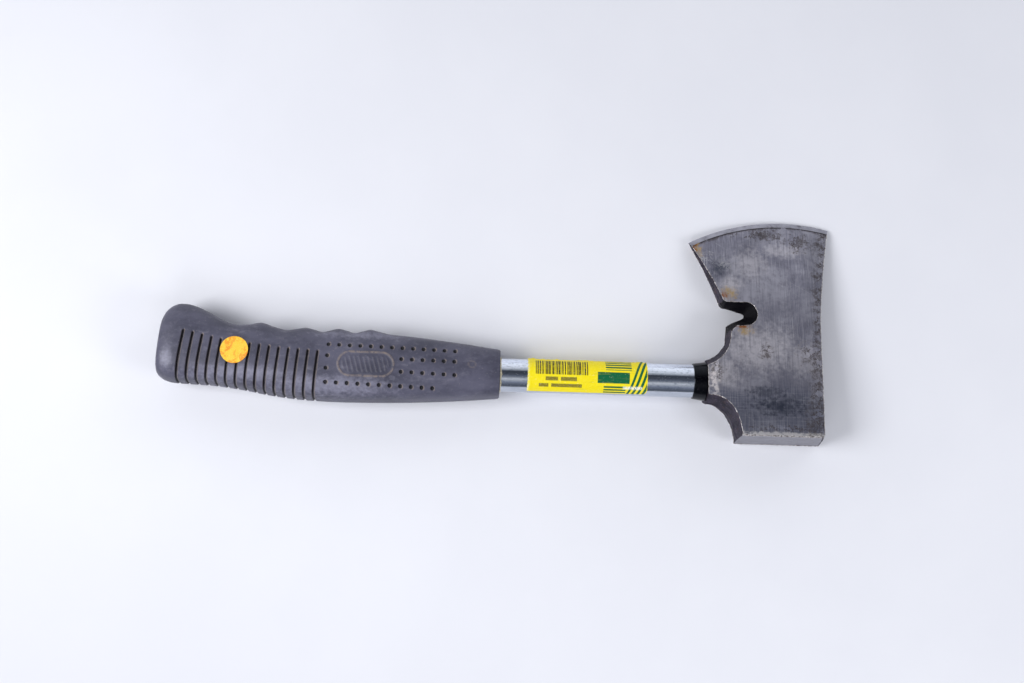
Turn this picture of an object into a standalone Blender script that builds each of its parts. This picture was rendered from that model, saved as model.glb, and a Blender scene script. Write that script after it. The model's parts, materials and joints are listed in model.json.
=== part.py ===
"""Hatchet with a forged head, a chromed tubular shaft and a moulded rubber grip.

The hatchet is drawn in its own axes: X runs along the shaft from the grip's mouth towards the
head, Y points at the cutting edge, and Z is normal to the plane that halves the blade. An empty
then lays it down the way it rests on a table, on its cutting edge, one cheek and the grip.
"""

import math

import bmesh
import bpy
from mathutils import Vector

MM = 0.001
GAP = 0.3 * MM
LAP = 10 * MM

# Shaft
TUBE_RADIUS = 9.525 * MM
TUBE_WALL = 2.0 * MM
TUBE_START = -148.0 * MM
TUBE_END = 182.6 * MM
ROUND_SIDES = 32

# Head: thickness, and the flats that shape it
HEAD_HALF_THICKNESS = 13.5 * MM
BOSS_FACE = 118.2 * MM
FRONT_FACE = 185.4 * MM
POLL_FACE = -33.0 * MM
HEAD_TOP = 100.0 * MM
CHEEK_END = 94.5 * MM
SHOULDER_HALF = 1.6 * MM
NOTCH_FACE_LEVEL = 8.5 * MM
CORNER_RADIUS = 1.5 * MM
FRONT_DRAFT = 2.4 * MM

# How far the solids that shape the head reach past it
PRISM_REACH = 15.0 * MM
WEDGE_TOP = 102.0 * MM
WEDGE_BACK = 78.0 * MM
WEDGE_FRONT = 205.0 * MM

# Cutting edge: an arc, and the short bevel ground along it
EDGE_CENTRE = (164.5 * MM, -18.5 * MM)
EDGE_RADIUS = 115.85 * MM
BEVEL_WIDTH = 2.8 * MM
EDGE_CONE_SLOPE = 0.155
EDGE_STEPS = 180

# Collar, from the tube side to the head side
COLLAR_START = 110.4 * MM
COLLAR_RADII = (10.2 * MM, 11.2 * MM)
COLLAR_ROUND = 0.25 * MM

# Plugs
PLUG_RADIUS = TUBE_RADIUS - TUBE_WALL - GAP
EYE_PLUG_LENGTH = 18.0 * MM
EYE_PLUG_TAPER = 0.5 * MM
END_PLUG_LENGTH = 14.0 * MM
END_PLUG_FLANGE = 1.2 * MM

# Grip: outline at the finger side and at the palm side, and half its thickness, along X
GRIP_END = -193.3 * MM
FINGER_SIDE = (
    (-193.3, 12.0), (-192.7, 20.5), (-191.2, 26.0), (-188.4, 31.0), (-185.0, 33.6), (-181.0, 34.7),
    (-175.0, 34.0), (-168.0, 31.3), (-161.0, 27.6), (-154.0, 24.3), (-148.0, 23.3), (-141.0, 24.1),
    (-135.5, 25.0), (-129.0, 23.0), (-122.0, 21.3), (-116.0, 22.0), (-110.5, 22.9), (-106.0, 22.0),
    (-101.0, 20.8), (-96.5, 21.9), (-92.0, 22.9), (-87.5, 22.0), (-83.0, 20.8), (-78.5, 21.9),
    (-74.0, 23.0), (-69.0, 22.0), (-63.0, 20.6), (-52.0, 19.8), (-36.0, 18.2), (-18.0, 16.2),
    (-6.0, 14.6), (-0.6, 13.9), (0.0, 13.3),
)
PALM_SIDE = (
    (-193.3, -3.5), (-192.7, -5.8), (-191.2, -7.4), (-188.4, -8.9), (-184.0, -9.9), (-175.0, -10.3),
    (-160.0, -11.0), (-145.0, -12.8), (-130.0, -15.4), (-115.0, -17.1), (-100.0, -17.9),
    (-82.0, -18.0), (-62.0, -17.5), (-40.0, -16.5), (-20.0, -15.1), (-6.0, -13.8), (-0.6, -13.2),
    (0.0, -12.6),
)
GRIP_HALF_THICKNESS = (
    (-193.3, 8.0), (-192.7, 11.0), (-191.2, 12.9), (-188.4, 14.1), (-183.0, 14.9), (-160.0, 14.8),
    (-110.0, 15.2), (-60.0, 14.8), (-20.0, 13.5), (-6.0, 12.6), (-0.6, 12.2), (0.0, 11.7),
)
GRIP_SQUARENESS = 2.9
GRIP_SIDES = 28

# Ribs: slots cut round the palm side, leaning with it
SLOT_COUNT = 15
SLOT_FIRST = -181.0 * MM
SLOT_LAST = -103.4 * MM
SLOT_WIDTH = 1.7 * MM
SLOT_DEPTH = 0.9 * MM
SLOT_WALL = 0.25 * MM
SLOT_REACH = 24.8 * MM
POMMEL_STATIONS = (-193.3, -192.8, -191.8, -190.0, -187.5, -184.5)
GROOVE_STATIONS = (-96.5, -92.0, -87.5, -83.0, -78.5, -74.0, -69.0, -63.0)
NECK_STATIONS = (-50.0, -34.0, -17.0, -5.0, -0.6, 0.0)
LEAN_AT_FIRST_SLOT = 9.2
LEAN_AT_LAST_SLOT = 3.8
LEAN_AT_END = 3.4
LEAN_STOPS = -50.0 * MM
HEIGHT_PASSES = 6

# Adhesive, label and sticker
BEAD_LENGTH = 0.8 * MM
BEAD_RADIUS = 10.9 * MM
PAPER = 0.15 * MM
LABEL_START = 15.2 * MM
LABEL_LENGTH = 69.0 * MM
LABEL_TURN = 230.0
LABEL_MIDDLE = -41.0
STICKER_CENTRE = (-148.8 * MM, 6.2 * MM)
STICKER_RADIUS = 7.75 * MM
STICKER_STEPS = 36
STICKER_RINGS = 4

# How it lies: the edge drops until it meets the table, and the grip's end too
ROLL_AT_REST = math.radians(-7.13)
PITCH_AT_REST = math.radians(0.578)


def clear_scene():
    for obj in list(bpy.data.objects):
        bpy.data.objects.remove(obj)


def material(name, colour, roughness, metallic):
    made = bpy.data.materials.new(name)
    made.use_nodes = True
    shader = made.node_tree.nodes["Principled BSDF"]
    shader.inputs["Base Color"].default_value = (*colour, 1.0)
    shader.inputs["Roughness"].default_value = roughness
    shader.inputs["Metallic"].default_value = metallic
    return made


def add_object(name, bm, rest):
    """A mesh object under the empty that lays the hatchet down."""
    bmesh.ops.recalc_face_normals(bm, faces=bm.faces)
    mesh = bpy.data.meshes.new(name)
    bm.to_mesh(mesh)
    bm.free()
    obj = bpy.data.objects.new(name, mesh)
    bpy.context.collection.objects.link(obj)
    obj.parent = rest
    return obj


def finish(obj, finish_material, sharp_angle=35.0):
    obj.data.materials.append(finish_material)
    obj.data.shade_smooth()
    obj.data.set_sharp_from_angle(angle=math.radians(sharp_angle))
    return obj


def cut(obj, cutter, operation):
    cutter.hide_render = True
    cutter.display_type = "WIRE"
    boolean = obj.modifiers.new(cutter.name, "BOOLEAN")
    boolean.operation = operation
    boolean.solver = "EXACT"
    boolean.object = cutter


def arc(centre, radii, start, end, steps):
    """Points on an elliptical arc between two angles in degrees, both ends included."""
    points = []
    for step in range(steps + 1):
        angle = math.radians(start + (end - start) * step / steps)
        points.append((centre[0] + radii[0] * math.cos(angle), centre[1] + radii[1] * math.sin(angle)))
    return points


def bow(start, end, rise, steps):
    """A shallow curve between two points that stands rise to the right of the straight line."""
    start, end = Vector(start), Vector(end)
    along = end - start
    side = Vector((along.y, -along.x)).normalized()
    points = []
    for step in range(steps + 1):
        part = step / steps
        points.append(tuple(start + along * part + side * (4 * rise * part * (1 - part))))
    return points


def smooth_value(table, x):
    """A smooth curve through the table's points, all in millimetres, read at x."""
    x = min(max(x, table[0][0]), table[-1][0])
    place = max(i for i in range(len(table) - 1) if table[i][0] <= x)
    (x0, y0), (x1, y1) = table[place], table[place + 1]
    before = table[max(place - 1, 0)]
    after = table[min(place + 2, len(table) - 1)]
    slope0 = (y1 - before[1]) / (x1 - before[0])
    slope1 = (after[1] - y0) / (after[0] - x0)
    span = x1 - x0
    t = (x - x0) / span
    return (
        y0 * (1 + 2 * t) * (1 - t) ** 2
        + slope0 * span * t * (1 - t) ** 2
        + y1 * t * t * (3 - 2 * t)
        + slope1 * span * t * t * (t - 1)
    )


def bridge_rings(bm, rings):
    """Quads between neighbouring rings of vertices, and a face on each end."""
    for ring, following in zip(rings, rings[1:]):
        for i in range(len(ring)):
            j = (i + 1) % len(ring)
            bm.faces.new((ring[i], ring[j], following[j], following[i]))
    bm.faces.new(rings[0])
    bm.faces.new(reversed(rings[-1]))


def turned(profile, turn=360.0, middle=0.0, sides=ROUND_SIDES):
    """A solid turned about the shaft's axis from (x, radius) points.

    A turn under 360 degrees leaves a shell whose middle is that far round from +Z, towards -Y.
    """
    begin = math.radians(middle - turn / 2)
    bm = bmesh.new()
    verts = [bm.verts.new((x, -r * math.sin(begin), r * math.cos(begin))) for x, r in profile]
    edges = [bm.edges.new(pair) for pair in zip(verts, verts[1:])]
    if profile[0][1] > 0:
        edges.append(bm.edges.new((verts[-1], verts[0])))
    bmesh.ops.spin(
        bm,
        geom=verts + edges,
        axis=(1, 0, 0),
        angle=math.radians(turn),
        steps=sides,
        use_merge=turn >= 360.0,
    )
    bmesh.ops.remove_doubles(bm, verts=bm.verts, dist=0.001 * MM)
    bmesh.ops.holes_fill(bm, edges=[edge for edge in bm.edges if edge.is_boundary], sides=0)
    return bm


def drafted_prism(waist, face, face_level, reach):
    """A solid whose section is waist at Z 0, grows or shrinks to face at face_level, and goes on to reach."""
    part = reach / face_level
    bm = bmesh.new()
    rings = []
    for level in (-1, 0, 1):
        ring = []
        for near, far in zip(waist, face):
            spot = Vector(near).lerp(Vector(far), part * abs(level))
            ring.append(bm.verts.new((spot.x, spot.y, level * reach)))
        rings.append(ring)
    bridge_rings(bm, rings)
    bmesh.ops.triangulate(bm, faces=bm.faces)
    return bm


def in_metres(points):
    return [(x * MM, y * MM) for x, y in points]


def head_outline(at_cheek):
    """The head seen from the side, at its parting line or where its cheeks are thickest."""
    poll = POLL_FACE / MM
    top = HEAD_TOP / MM
    front = FRONT_FACE / MM
    corner = CORNER_RADIUS / MM
    if at_cheek:
        front -= FRONT_DRAFT / MM
        neck = arc((112.5, 26.5), (19.5, 21.0), -73.0, 0, 8)
        blade_back = bow((129.4, 46.3), (100.2, top), 2.1, 6)
        blade_front = bow((191.2, top), (front, 30.0), 1.3, 6)
        poll_heel = [(137.0, poll)]
        throat = arc((118.2, poll), (18.5, 23.6), 7, 90, 10)
    else:
        neck = arc((113.5, 29.5), (17.8, 17.8), -74.7, 0, 8)
        blade_back = bow((127.7, 46.3), (98.0, top), 2.1, 6)
        blade_front = bow((193.3, top), (front, 30.0), 1.3, 6)
        poll_heel = [(134.1, poll)]
        throat = arc((118.2, -29.2), (15.9, 16.0), 0, 90, 10)
    poll_corner = arc((front - corner, poll + corner), (corner, corner), 0, -90, 4)
    return in_metres(neck + blade_back + blade_front + poll_corner + poll_heel + throat)


def notch_outline(at_cheek):
    """The nail notch: a narrow V at the parting line that opens into a wide dish at the cheeks."""
    if at_cheek:
        upper = [(116.0, 47.6), (127.9, 47.6), (129.8, 46.4), (134.2, 46.4)]
        tip = arc((140.4, 39.7), (7.2, 7.5), 75, -70, 6)
        lower = [(138.0, 32.0), (134.9, 31.8), (131.2, 28.0), (116.0, 28.0)]
    else:
        upper = [(116.0, 46.3), (127.7, 46.3), (129.2, 43.9), (133.5, 42.9)]
        tip = arc((139.3, 39.4), (1.8, 1.6), 75, -70, 6)
        lower = [(136.9, 36.5), (133.8, 35.3), (130.6, 32.9), (116.0, 32.9)]
    return in_metres(upper + tip + lower)


def cheek_wedge(rest):
    """The body between the two cheeks: parallel beside the poll, then tapering towards the edge."""
    slope = (HEAD_HALF_THICKNESS - SHOULDER_HALF) / CHEEK_END
    beyond = HEAD_HALF_THICKNESS - slope * WEDGE_TOP
    side = [
        (POLL_FACE - LAP, HEAD_HALF_THICKNESS),
        (0.0, HEAD_HALF_THICKNESS),
        (WEDGE_TOP, beyond),
    ]
    section = side + [(y, -z) for y, z in reversed(side)]
    bm = bmesh.new()
    ends = []
    for x in (WEDGE_BACK, WEDGE_FRONT):
        ends.append([bm.verts.new((x, y, z)) for y, z in section])
    bridge_rings(bm, ends)
    return add_object("cutter_cheeks", bm, rest)


def edge_lens(rest):
    """A flat double cone whose rim is the cutting edge and whose outermost band is the bevel."""
    shoulder = EDGE_RADIUS - BEVEL_WIDTH
    top = SHOULDER_HALF + EDGE_CONE_SLOPE * shoulder
    bm = bmesh.new()
    upper, rim, lower = [], [], []
    for step in range(EDGE_STEPS):
        angle = 2 * math.pi * step / EDGE_STEPS
        out = Vector((math.cos(angle), math.sin(angle), 0))
        upper.append(bm.verts.new(out * shoulder + Vector((0, 0, SHOULDER_HALF))))
        rim.append(bm.verts.new(out * EDGE_RADIUS))
        lower.append(bm.verts.new(out * shoulder - Vector((0, 0, SHOULDER_HALF))))
    peak = bm.verts.new((0, 0, top))
    foot = bm.verts.new((0, 0, -top))
    for i in range(EDGE_STEPS):
        j = (i + 1) % EDGE_STEPS
        bm.faces.new((upper[i], upper[j], peak))
        bm.faces.new((rim[i], rim[j], upper[j], upper[i]))
        bm.faces.new((lower[i], lower[j], rim[j], rim[i]))
        bm.faces.new((lower[j], lower[i], foot))
    lens = add_object("cutter_edge", bm, rest)
    lens.location = (*EDGE_CENTRE, 0)
    return lens


def make_head(rest, steel):
    body = drafted_prism(
        head_outline(False), head_outline(True), HEAD_HALF_THICKNESS, PRISM_REACH
    )
    head = add_object("axe_head", body, rest)
    cut(head, cheek_wedge(rest), "INTERSECT")
    cut(head, edge_lens(rest), "INTERSECT")
    notch = drafted_prism(notch_outline(False), notch_outline(True), NOTCH_FACE_LEVEL, PRISM_REACH)
    cut(head, add_object("cutter_notch", notch, rest), "DIFFERENCE")
    bore = TUBE_RADIUS + GAP
    eye = turned(
        [
            (BOSS_FACE - LAP, 0), (BOSS_FACE - LAP, bore),
            (FRONT_FACE + LAP, bore), (FRONT_FACE + LAP, 0),
        ]
    )
    cut(head, add_object("cutter_eye", eye, rest), "DIFFERENCE")
    return finish(head, steel, sharp_angle=1.0)


def make_tube(rest, chrome):
    inner = TUBE_RADIUS - TUBE_WALL
    profile = [(TUBE_START, inner), (TUBE_START, TUBE_RADIUS), (TUBE_END, TUBE_RADIUS), (TUBE_END, inner)]
    return finish(add_object("shaft_tube", turned(profile), rest), chrome)


def make_collar(rest, plastic):
    bore = TUBE_RADIUS + GAP
    end = BOSS_FACE - GAP
    small, large = COLLAR_RADII
    profile = [
        (COLLAR_START, bore),
        (COLLAR_START, small - COLLAR_ROUND),
        (COLLAR_START + COLLAR_ROUND, small),
        (end - COLLAR_ROUND, large),
        (end, large - COLLAR_ROUND),
        (end, bore),
    ]
    return finish(add_object("head_collar", turned(profile), rest), plastic)


def make_eye_plug(rest, steel):
    start = TUBE_END - EYE_PLUG_LENGTH
    profile = [(start, 0), (start, PLUG_RADIUS - EYE_PLUG_TAPER), (TUBE_END, PLUG_RADIUS), (TUBE_END, 0)]
    return finish(add_object("eye_plug", turned(profile), rest), steel)


def make_end_plug(rest, plastic):
    seat = TUBE_START - GAP
    profile = [
        (seat - END_PLUG_FLANGE, 0),
        (seat - END_PLUG_FLANGE, TUBE_RADIUS),
        (seat, TUBE_RADIUS),
        (seat, PLUG_RADIUS),
        (seat + END_PLUG_LENGTH, PLUG_RADIUS - EYE_PLUG_TAPER),
        (seat + END_PLUG_LENGTH, 0),
    ]
    return finish(add_object("tube_end_plug", turned(profile), rest), plastic)


def lean_at(x):
    """How far a section of the grip leans from square to the shaft, in degrees."""
    table = (
        (GRIP_END, LEAN_AT_END),
        (SLOT_FIRST, LEAN_AT_FIRST_SLOT),
        (SLOT_LAST, LEAN_AT_LAST_SLOT),
        (LEAN_STOPS, 0.0),
    )
    if x >= LEAN_STOPS:
        return 0.0
    place = max(i for i in range(len(table) - 1) if table[i][0] <= x)
    (x0, lean0), (x1, lean1) = table[place], table[place + 1]
    return lean0 + (lean1 - lean0) * (x - x0) / (x1 - x0)


def leaning_height(table, x, lean):
    """Where a leaning section that starts at x on the axis meets the outline."""
    height = smooth_value(table, x / MM) * MM
    for _ in range(HEIGHT_PASSES):
        height = smooth_value(table, (x + height * lean) / MM) * MM
    return height


def squircle(angle):
    """A point on a rounded square of half width 1."""
    power = 2.0 / GRIP_SQUARENESS
    across, up = math.cos(angle), math.sin(angle)
    return (
        math.copysign(abs(across) ** power, across),
        math.copysign(abs(up) ** power, up),
    )


def grip_ring(x, depth):
    """One section of the grip. Below the slots' upper ends it is sunk by depth."""
    lean = math.tan(math.radians(lean_at(x)))
    high = leaning_height(FINGER_SIDE, x, lean)
    low = leaning_height(PALM_SIDE, x, lean)
    middle, half = (high + low) / 2, (high - low) / 2
    thick = smooth_value(GRIP_HALF_THICKNESS, x / MM) * MM
    points = []
    for side in range(GRIP_SIDES):
        across, up = squircle(2 * math.pi * side / GRIP_SIDES)
        y = middle + half * across
        sunk = depth if y < low + SLOT_REACH else 0.0
        y -= sunk * across
        points.append((x + y * lean, y, (thick - sunk) * up))
    return points


def grip_stations():
    """Places along the shaft where the grip has a section, each with how deep it is sunk."""
    stations = [(x * MM, 0.0) for x in POMMEL_STATIONS]
    pitch = (SLOT_LAST - SLOT_FIRST) / (SLOT_COUNT - 1)
    for slot in range(SLOT_COUNT):
        centre = SLOT_FIRST + pitch * slot
        outer = SLOT_WIDTH / 2 + SLOT_WALL / 2
        inner = SLOT_WIDTH / 2 - SLOT_WALL / 2
        stations += [(centre - outer, 0.0), (centre - inner, SLOT_DEPTH)]
        stations += [(centre + inner, SLOT_DEPTH), (centre + outer, 0.0)]
    return stations + [(x * MM, 0.0) for x in GROOVE_STATIONS + NECK_STATIONS]


def make_grip(rest, rubber):
    bm = bmesh.new()
    rings = [[bm.verts.new(p) for p in grip_ring(x, depth)] for x, depth in grip_stations()]
    bore = TUBE_RADIUS + GAP
    bore_end = TUBE_START - END_PLUG_FLANGE - 2 * GAP
    for x in (0.0, bore_end):
        ring = []
        for side in range(GRIP_SIDES):
            angle = 2 * math.pi * side / GRIP_SIDES
            ring.append(bm.verts.new((x, bore * math.cos(angle), bore * math.sin(angle))))
        rings.append(ring)
    bridge_rings(bm, rings)
    return finish(add_object("grip_sleeve", bm, rest), rubber)


def make_adhesive(rest, glue):
    bore = TUBE_RADIUS + GAP
    profile = [
        (GAP, bore), (GAP, BEAD_RADIUS),
        (GAP + BEAD_LENGTH / 2, BEAD_RADIUS - BEAD_LENGTH / 3), (GAP + BEAD_LENGTH, bore),
    ]
    return finish(add_object("grip_mouth_adhesive", turned(profile), rest), glue)


def make_label(rest, paper):
    under = TUBE_RADIUS + PAPER
    over = under + PAPER
    end = LABEL_START + LABEL_LENGTH
    profile = [(LABEL_START, under), (LABEL_START, over), (end, over), (end, under)]
    shell = turned(profile, LABEL_TURN, LABEL_MIDDLE)
    return finish(add_object("wrap_label", shell, rest), paper)


def grip_face_height(x, y):
    """Height of the grip's broad face above the blade's plane, between the slots."""
    high = smooth_value(FINGER_SIDE, x / MM) * MM
    low = smooth_value(PALM_SIDE, x / MM) * MM
    across = abs(y - (high + low) / 2) / ((high - low) / 2)
    thick = smooth_value(GRIP_HALF_THICKNESS, x / MM) * MM
    return thick * (1 - across**GRIP_SQUARENESS) ** (1 / GRIP_SQUARENESS)


def make_sticker(rest, paper):
    """A round of paper that follows the grip's face."""
    bm = bmesh.new()
    rings = []
    under = [i / STICKER_RINGS for i in range(1, STICKER_RINGS + 1)]
    levels = [(part, GAP) for part in under] + [(part, GAP + PAPER) for part in reversed(under)]
    for part, lift in levels:
        ring = []
        for x, y in arc(STICKER_CENTRE, (STICKER_RADIUS * part,) * 2, 0, 360, STICKER_STEPS)[:-1]:
            ring.append(bm.verts.new((x, y, grip_face_height(x, y) + lift)))
        rings.append(ring)
    bridge_rings(bm, rings)
    return finish(add_object("price_sticker", bm, rest), paper)


def lay_down(rest, pieces):
    """Turns the hatchet to the way it rests, with the middle of its footprint over the origin."""
    rest.rotation_euler = (ROLL_AT_REST, PITCH_AT_REST, 0)
    bpy.context.view_layer.update()
    graph = bpy.context.evaluated_depsgraph_get()
    corners = []
    for piece in pieces:
        solid = piece.evaluated_get(graph)
        corners += [solid.matrix_world @ vert.co for vert in solid.data.vertices]
    low = Vector([min(corner[axis] for corner in corners) for axis in range(3)])
    high = Vector([max(corner[axis] for corner in corners) for axis in range(3)])
    rest.location = (-(low.x + high.x) / 2, -(low.y + high.y) / 2, -low.z)


def main():
    clear_scene()
    rest = bpy.data.objects.new("way_it_rests", None)
    bpy.context.collection.objects.link(rest)
    steel = material("ground_steel", (0.42, 0.42, 0.44), 0.35, 1.0)
    chrome = material("chrome", (0.80, 0.80, 0.80), 0.12, 1.0)
    black_gloss = material("black_gloss_plastic", (0.015, 0.015, 0.017), 0.12, 0.0)
    black_plastic = material("black_plastic", (0.03, 0.03, 0.03), 0.5, 0.0)
    rubber = material("grip_rubber", (0.045, 0.045, 0.05), 0.6, 0.0)
    glue = material("cured_adhesive", (0.72, 0.66, 0.45), 0.4, 0.0)
    label_paper = material("label_paper", (0.83, 0.77, 0.06), 0.45, 0.0)
    sticker_paper = material("sticker_paper", (0.78, 0.50, 0.06), 0.6, 0.0)
    pieces = [
        make_head(rest, steel),
        make_tube(rest, chrome),
        make_collar(rest, black_gloss),
        make_eye_plug(rest, steel),
        make_end_plug(rest, black_plastic),
        make_grip(rest, rubber),
        make_adhesive(rest, glue),
        make_label(rest, label_paper),
        make_sticker(rest, sticker_paper),
    ]
    lay_down(rest, pieces)


main()
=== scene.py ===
"""Looks of a hatchet: forged head, chromed tube shaft, moulded rubber grip, lying on a pale floor.

Pieces are drawn in the hatchet's own axes, in millimetres: X runs along the shaft from the grip's
mouth towards the head, Y points at the cutting edge, Z is normal to the blade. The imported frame's
mounts say where those axes lie, and each finished mesh is moved there.
"""

import json
from math import copysign, cos, exp, pi, radians, sin, tan

import bmesh
import bpy
import numpy as np
from mathutils import Matrix, Vector, noise


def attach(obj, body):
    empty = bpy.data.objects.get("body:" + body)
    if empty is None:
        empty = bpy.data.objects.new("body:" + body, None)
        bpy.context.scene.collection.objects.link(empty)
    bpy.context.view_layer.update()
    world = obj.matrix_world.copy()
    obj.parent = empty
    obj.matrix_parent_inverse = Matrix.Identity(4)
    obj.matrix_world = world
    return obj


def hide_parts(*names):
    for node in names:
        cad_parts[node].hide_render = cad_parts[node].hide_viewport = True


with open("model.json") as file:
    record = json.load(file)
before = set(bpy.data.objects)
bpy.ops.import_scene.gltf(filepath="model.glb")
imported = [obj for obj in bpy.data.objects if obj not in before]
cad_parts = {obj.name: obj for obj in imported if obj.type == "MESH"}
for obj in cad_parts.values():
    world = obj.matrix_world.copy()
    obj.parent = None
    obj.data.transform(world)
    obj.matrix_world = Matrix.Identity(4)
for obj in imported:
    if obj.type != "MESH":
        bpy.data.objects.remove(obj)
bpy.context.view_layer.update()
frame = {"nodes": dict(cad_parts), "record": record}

MM = 0.001
GAP = 0.3

# Shaft
TUBE_RADIUS = 9.525
TUBE_WALL = 2
TUBE_START = -148
TUBE_END = 182.6
TUBE_CHAMFER = 0.35
ROUND_SIDES = 160

# Head
HEAD_HALF_THICKNESS = 13.5
BOSS_FACE = 118.2
FRONT_FACE = 185.4
FRONT_DRAFT = 2.4
FRONT_DRAFT_BELOW = 1.6
POLL_FACE = -33
POLL_MOUNT_X = 160
HEAD_TOP = 100
CHEEK_END = 94.5
CHEEK_BEND = 11
CHEEK_BEND_STEPS = 16
SHOULDER_HALF = 1.6
NOTCH_FACE_LEVEL = 8.5
# Outlines at the parting line, then at the cheeks. The head's: the neck's arc from its centre,
# radii and start, the blade's back edge, the top of its front edge, the heel, the throat's arc
HEAD_FORMS = (
    (
        ((113.5, 29.5), (17.8, 17.8), -74.7), ((127.7, 46.3), (98, HEAD_TOP)),
        (193.3, HEAD_TOP), (136.2, POLL_FACE), ((118.2, -29.2), (15.9, 16), 0),
    ),
    (
        ((112.5, 26.5), (19.5, 21), -73), ((129.4, 46.3), (100.2, HEAD_TOP)),
        (191.2, HEAD_TOP), (136.7, POLL_FACE), ((118.2, POLL_FACE), (18.5, 23.6), 7),
    ),
)
# The notch's: its upper side, the arc at its tip, its lower side
NOTCH_FORMS = (
    (
        ((116, 46.3), (127.7, 46.3), (129.2, 43.9), (133.5, 42.9)), ((139.3, 39.4), (1.8, 1.6)),
        ((136.9, 36.5), (133.8, 35.3), (130.6, 32.9), (116, 32.9)),
    ),
    (
        ((116, 47.6), (127.9, 47.6), (129.8, 46.4), (134.2, 46.4)), ((140.4, 39.7), (7.2, 7.5)),
        ((138, 32), (134.9, 31.8), (131.2, 28), (116, 28)),
    ),
)
NOTCH_BOX = (127, 149, 29, 47.2)
CORNER_RADIUS = 1.5
EDGE_CENTRE = (164.5, -18.5)
EDGE_RADIUS = 115.85
BEVEL_WIDTH = 2.8
EDGE_CONE_SLOPE = 0.155
EDGE_STEPS = 720
FORGED_STEP = 0.8
FORGED_LEVELS = (0.3, 0.7, 1.3, 2.2, 3.4, 4.8, 6.2, 7.6, 9, 10.3, 11.5, 12.5, 13.5, 15)
CHEEK, BEVEL, POLL, FORGED, NOTCH, EYE = range(6)
BURR_SIDES = 6
BURR_STEP = 0.45
BURR_SHORTEST = 4

# Collar, plug, label and sticker
COLLAR_START = 110.4
COLLAR_RADII = (10.2, 11.2)
COLLAR_RIM = 0.5
PLUG_LENGTH = 18
PLUG_GAP = 0.12
ADHESIVE_SIDES = 220
PAPER = 0.12
LABEL_START = 15.9
LABEL_LENGTH = 67.8
LABEL_EDGES = (-156, 74)
LABEL_CELLS = (160, 110)
STICKER_CENTRE = (-148.8, 6.2)
STICKER_RADIUS = 7.75
STICKER_RINGS = 26
STICKER_SIDES = 96

# Grip: outline at the finger side and at the palm side, and half its thickness, along X
FINGER_SIDE = (
    (-193.3, 12), (-192.7, 20.5), (-191.2, 26), (-188.4, 31), (-185, 33.6), (-181, 34.7),
    (-175, 34), (-168, 31.3), (-161, 27.6), (-154, 24.3), (-148, 23.3), (-141, 24.1),
    (-135.5, 25), (-129, 23), (-122, 21.3), (-116, 22), (-110.5, 22.9), (-106, 22),
    (-101, 20.8), (-96.5, 21.9), (-92, 22.9), (-87.5, 22), (-83, 20.8), (-78.5, 21.9),
    (-74, 23), (-69, 22), (-63, 20.6), (-52, 19.8), (-36, 18.2), (-18, 16.2),
    (-6, 14.6), (-0.6, 13.9), (0, 13.3),
)
PALM_SIDE = (
    (-193.3, -3.5), (-192.7, -5.8), (-191.2, -7.4), (-188.4, -8.9), (-184, -9.9), (-175, -10.3),
    (-160, -11), (-145, -12.8), (-130, -15.4), (-115, -17.1), (-100, -17.9),
    (-82, -18), (-62, -17.5), (-40, -16.5), (-20, -15.1), (-6, -13.8), (-0.6, -13.2),
    (0, -12.6),
)
GRIP_HALF_THICKNESS = (
    (-193.3, 8), (-192.7, 11), (-191.2, 12.9), (-188.4, 14.1), (-183, 14.9), (-160, 14.8),
    (-110, 15.2), (-60, 14.8), (-20, 13.5), (-6, 12.6), (-0.6, 12.2), (0, 11.7),
)
GRIP_SQUARENESS = 2.9
GRIP_ASPECT = 0.72
GRIP_SIDES = 320
GRIP_END = -193.3
SEAM_HEIGHT = 0.12

# Grip: slots, dimples and the raised oval
SLOT_COUNT = 15
SLOT_FIRST = -179.7
SLOT_LAST = -102.95
SLOT_WIDTH = 1.5
SLOT_DEPTH = 1.5
SLOT_DEPTH_AT_PALM = 0.75
SLOT_HALF_PITCH = 2.77
SLOT_TOPS = (
    (-190, 18.5), (-179.7, 17.3), (-168.7, 15.1), (-157.8, 12.9), (-141.3, 10.8), (-124.9, 9),
    (-102.9, 7.6),
)
LEANS = ((GRIP_END, 3.4), (SLOT_FIRST, 7.1), (SLOT_LAST, 4.3), (-50, 0))
DIMPLE_RADIUS = 1.4
DIMPLE_DEPTH = 0.85
# Rows of dimples: first and last x, how many, y of the first, and how much lower the last lies
DIMPLE_ROWS = (
    (-96.6, -25.8, 13, 11.2, 1.3), (-97.1, -97.1, 1, 4.6, 0), (-97.5, -97.5, 1, -2.6, 0),
    (-55.7, -26, 6, 3.9, 0.25), (-55.75, -25.8, 6, -3.4, 0.7), (-97.45, -37.9, 11, -10.45, 1.35),
)
OVAL_CENTRE = (-75.4, 0.4)
OVAL_HALF = (15.5, 6.8)
OVAL_LINE = 0.55
OVAL_HEIGHT = 0.34
OVAL_SINK = 0.12
RIB_HEIGHT = 0.2
RIB_PITCH = 2.6
RIB_SLANT = 0.28
MARK_CENTRE = (-16, 2.6)
MARK_RADIUS = 1.9
MARK_DEPTH = 0.08

# Floor, in metres
FLOOR_HALF = 2.2
FLOOR_LEVEL = -0.0002

# The sky's brightness round the shaft's direction, in degrees from straight up towards +Y
SKY_LEVELS = (
    (-180, 0.60), (-92, 0.55), (-86, 0.13), (-70, 0.16), (-52, 0.24), (-37, 0.42), (-28, 0.56),
    (-21, 0.32), (-12, 0.16), (0, 0.08), (22, 0.05), (28, 0.08), (34, 0.36), (45, 0.60),
    (62, 0.80), (80, 0.92), (96, 0.90), (180, 0.60),
)
SKY_DIM = 0.3


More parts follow.
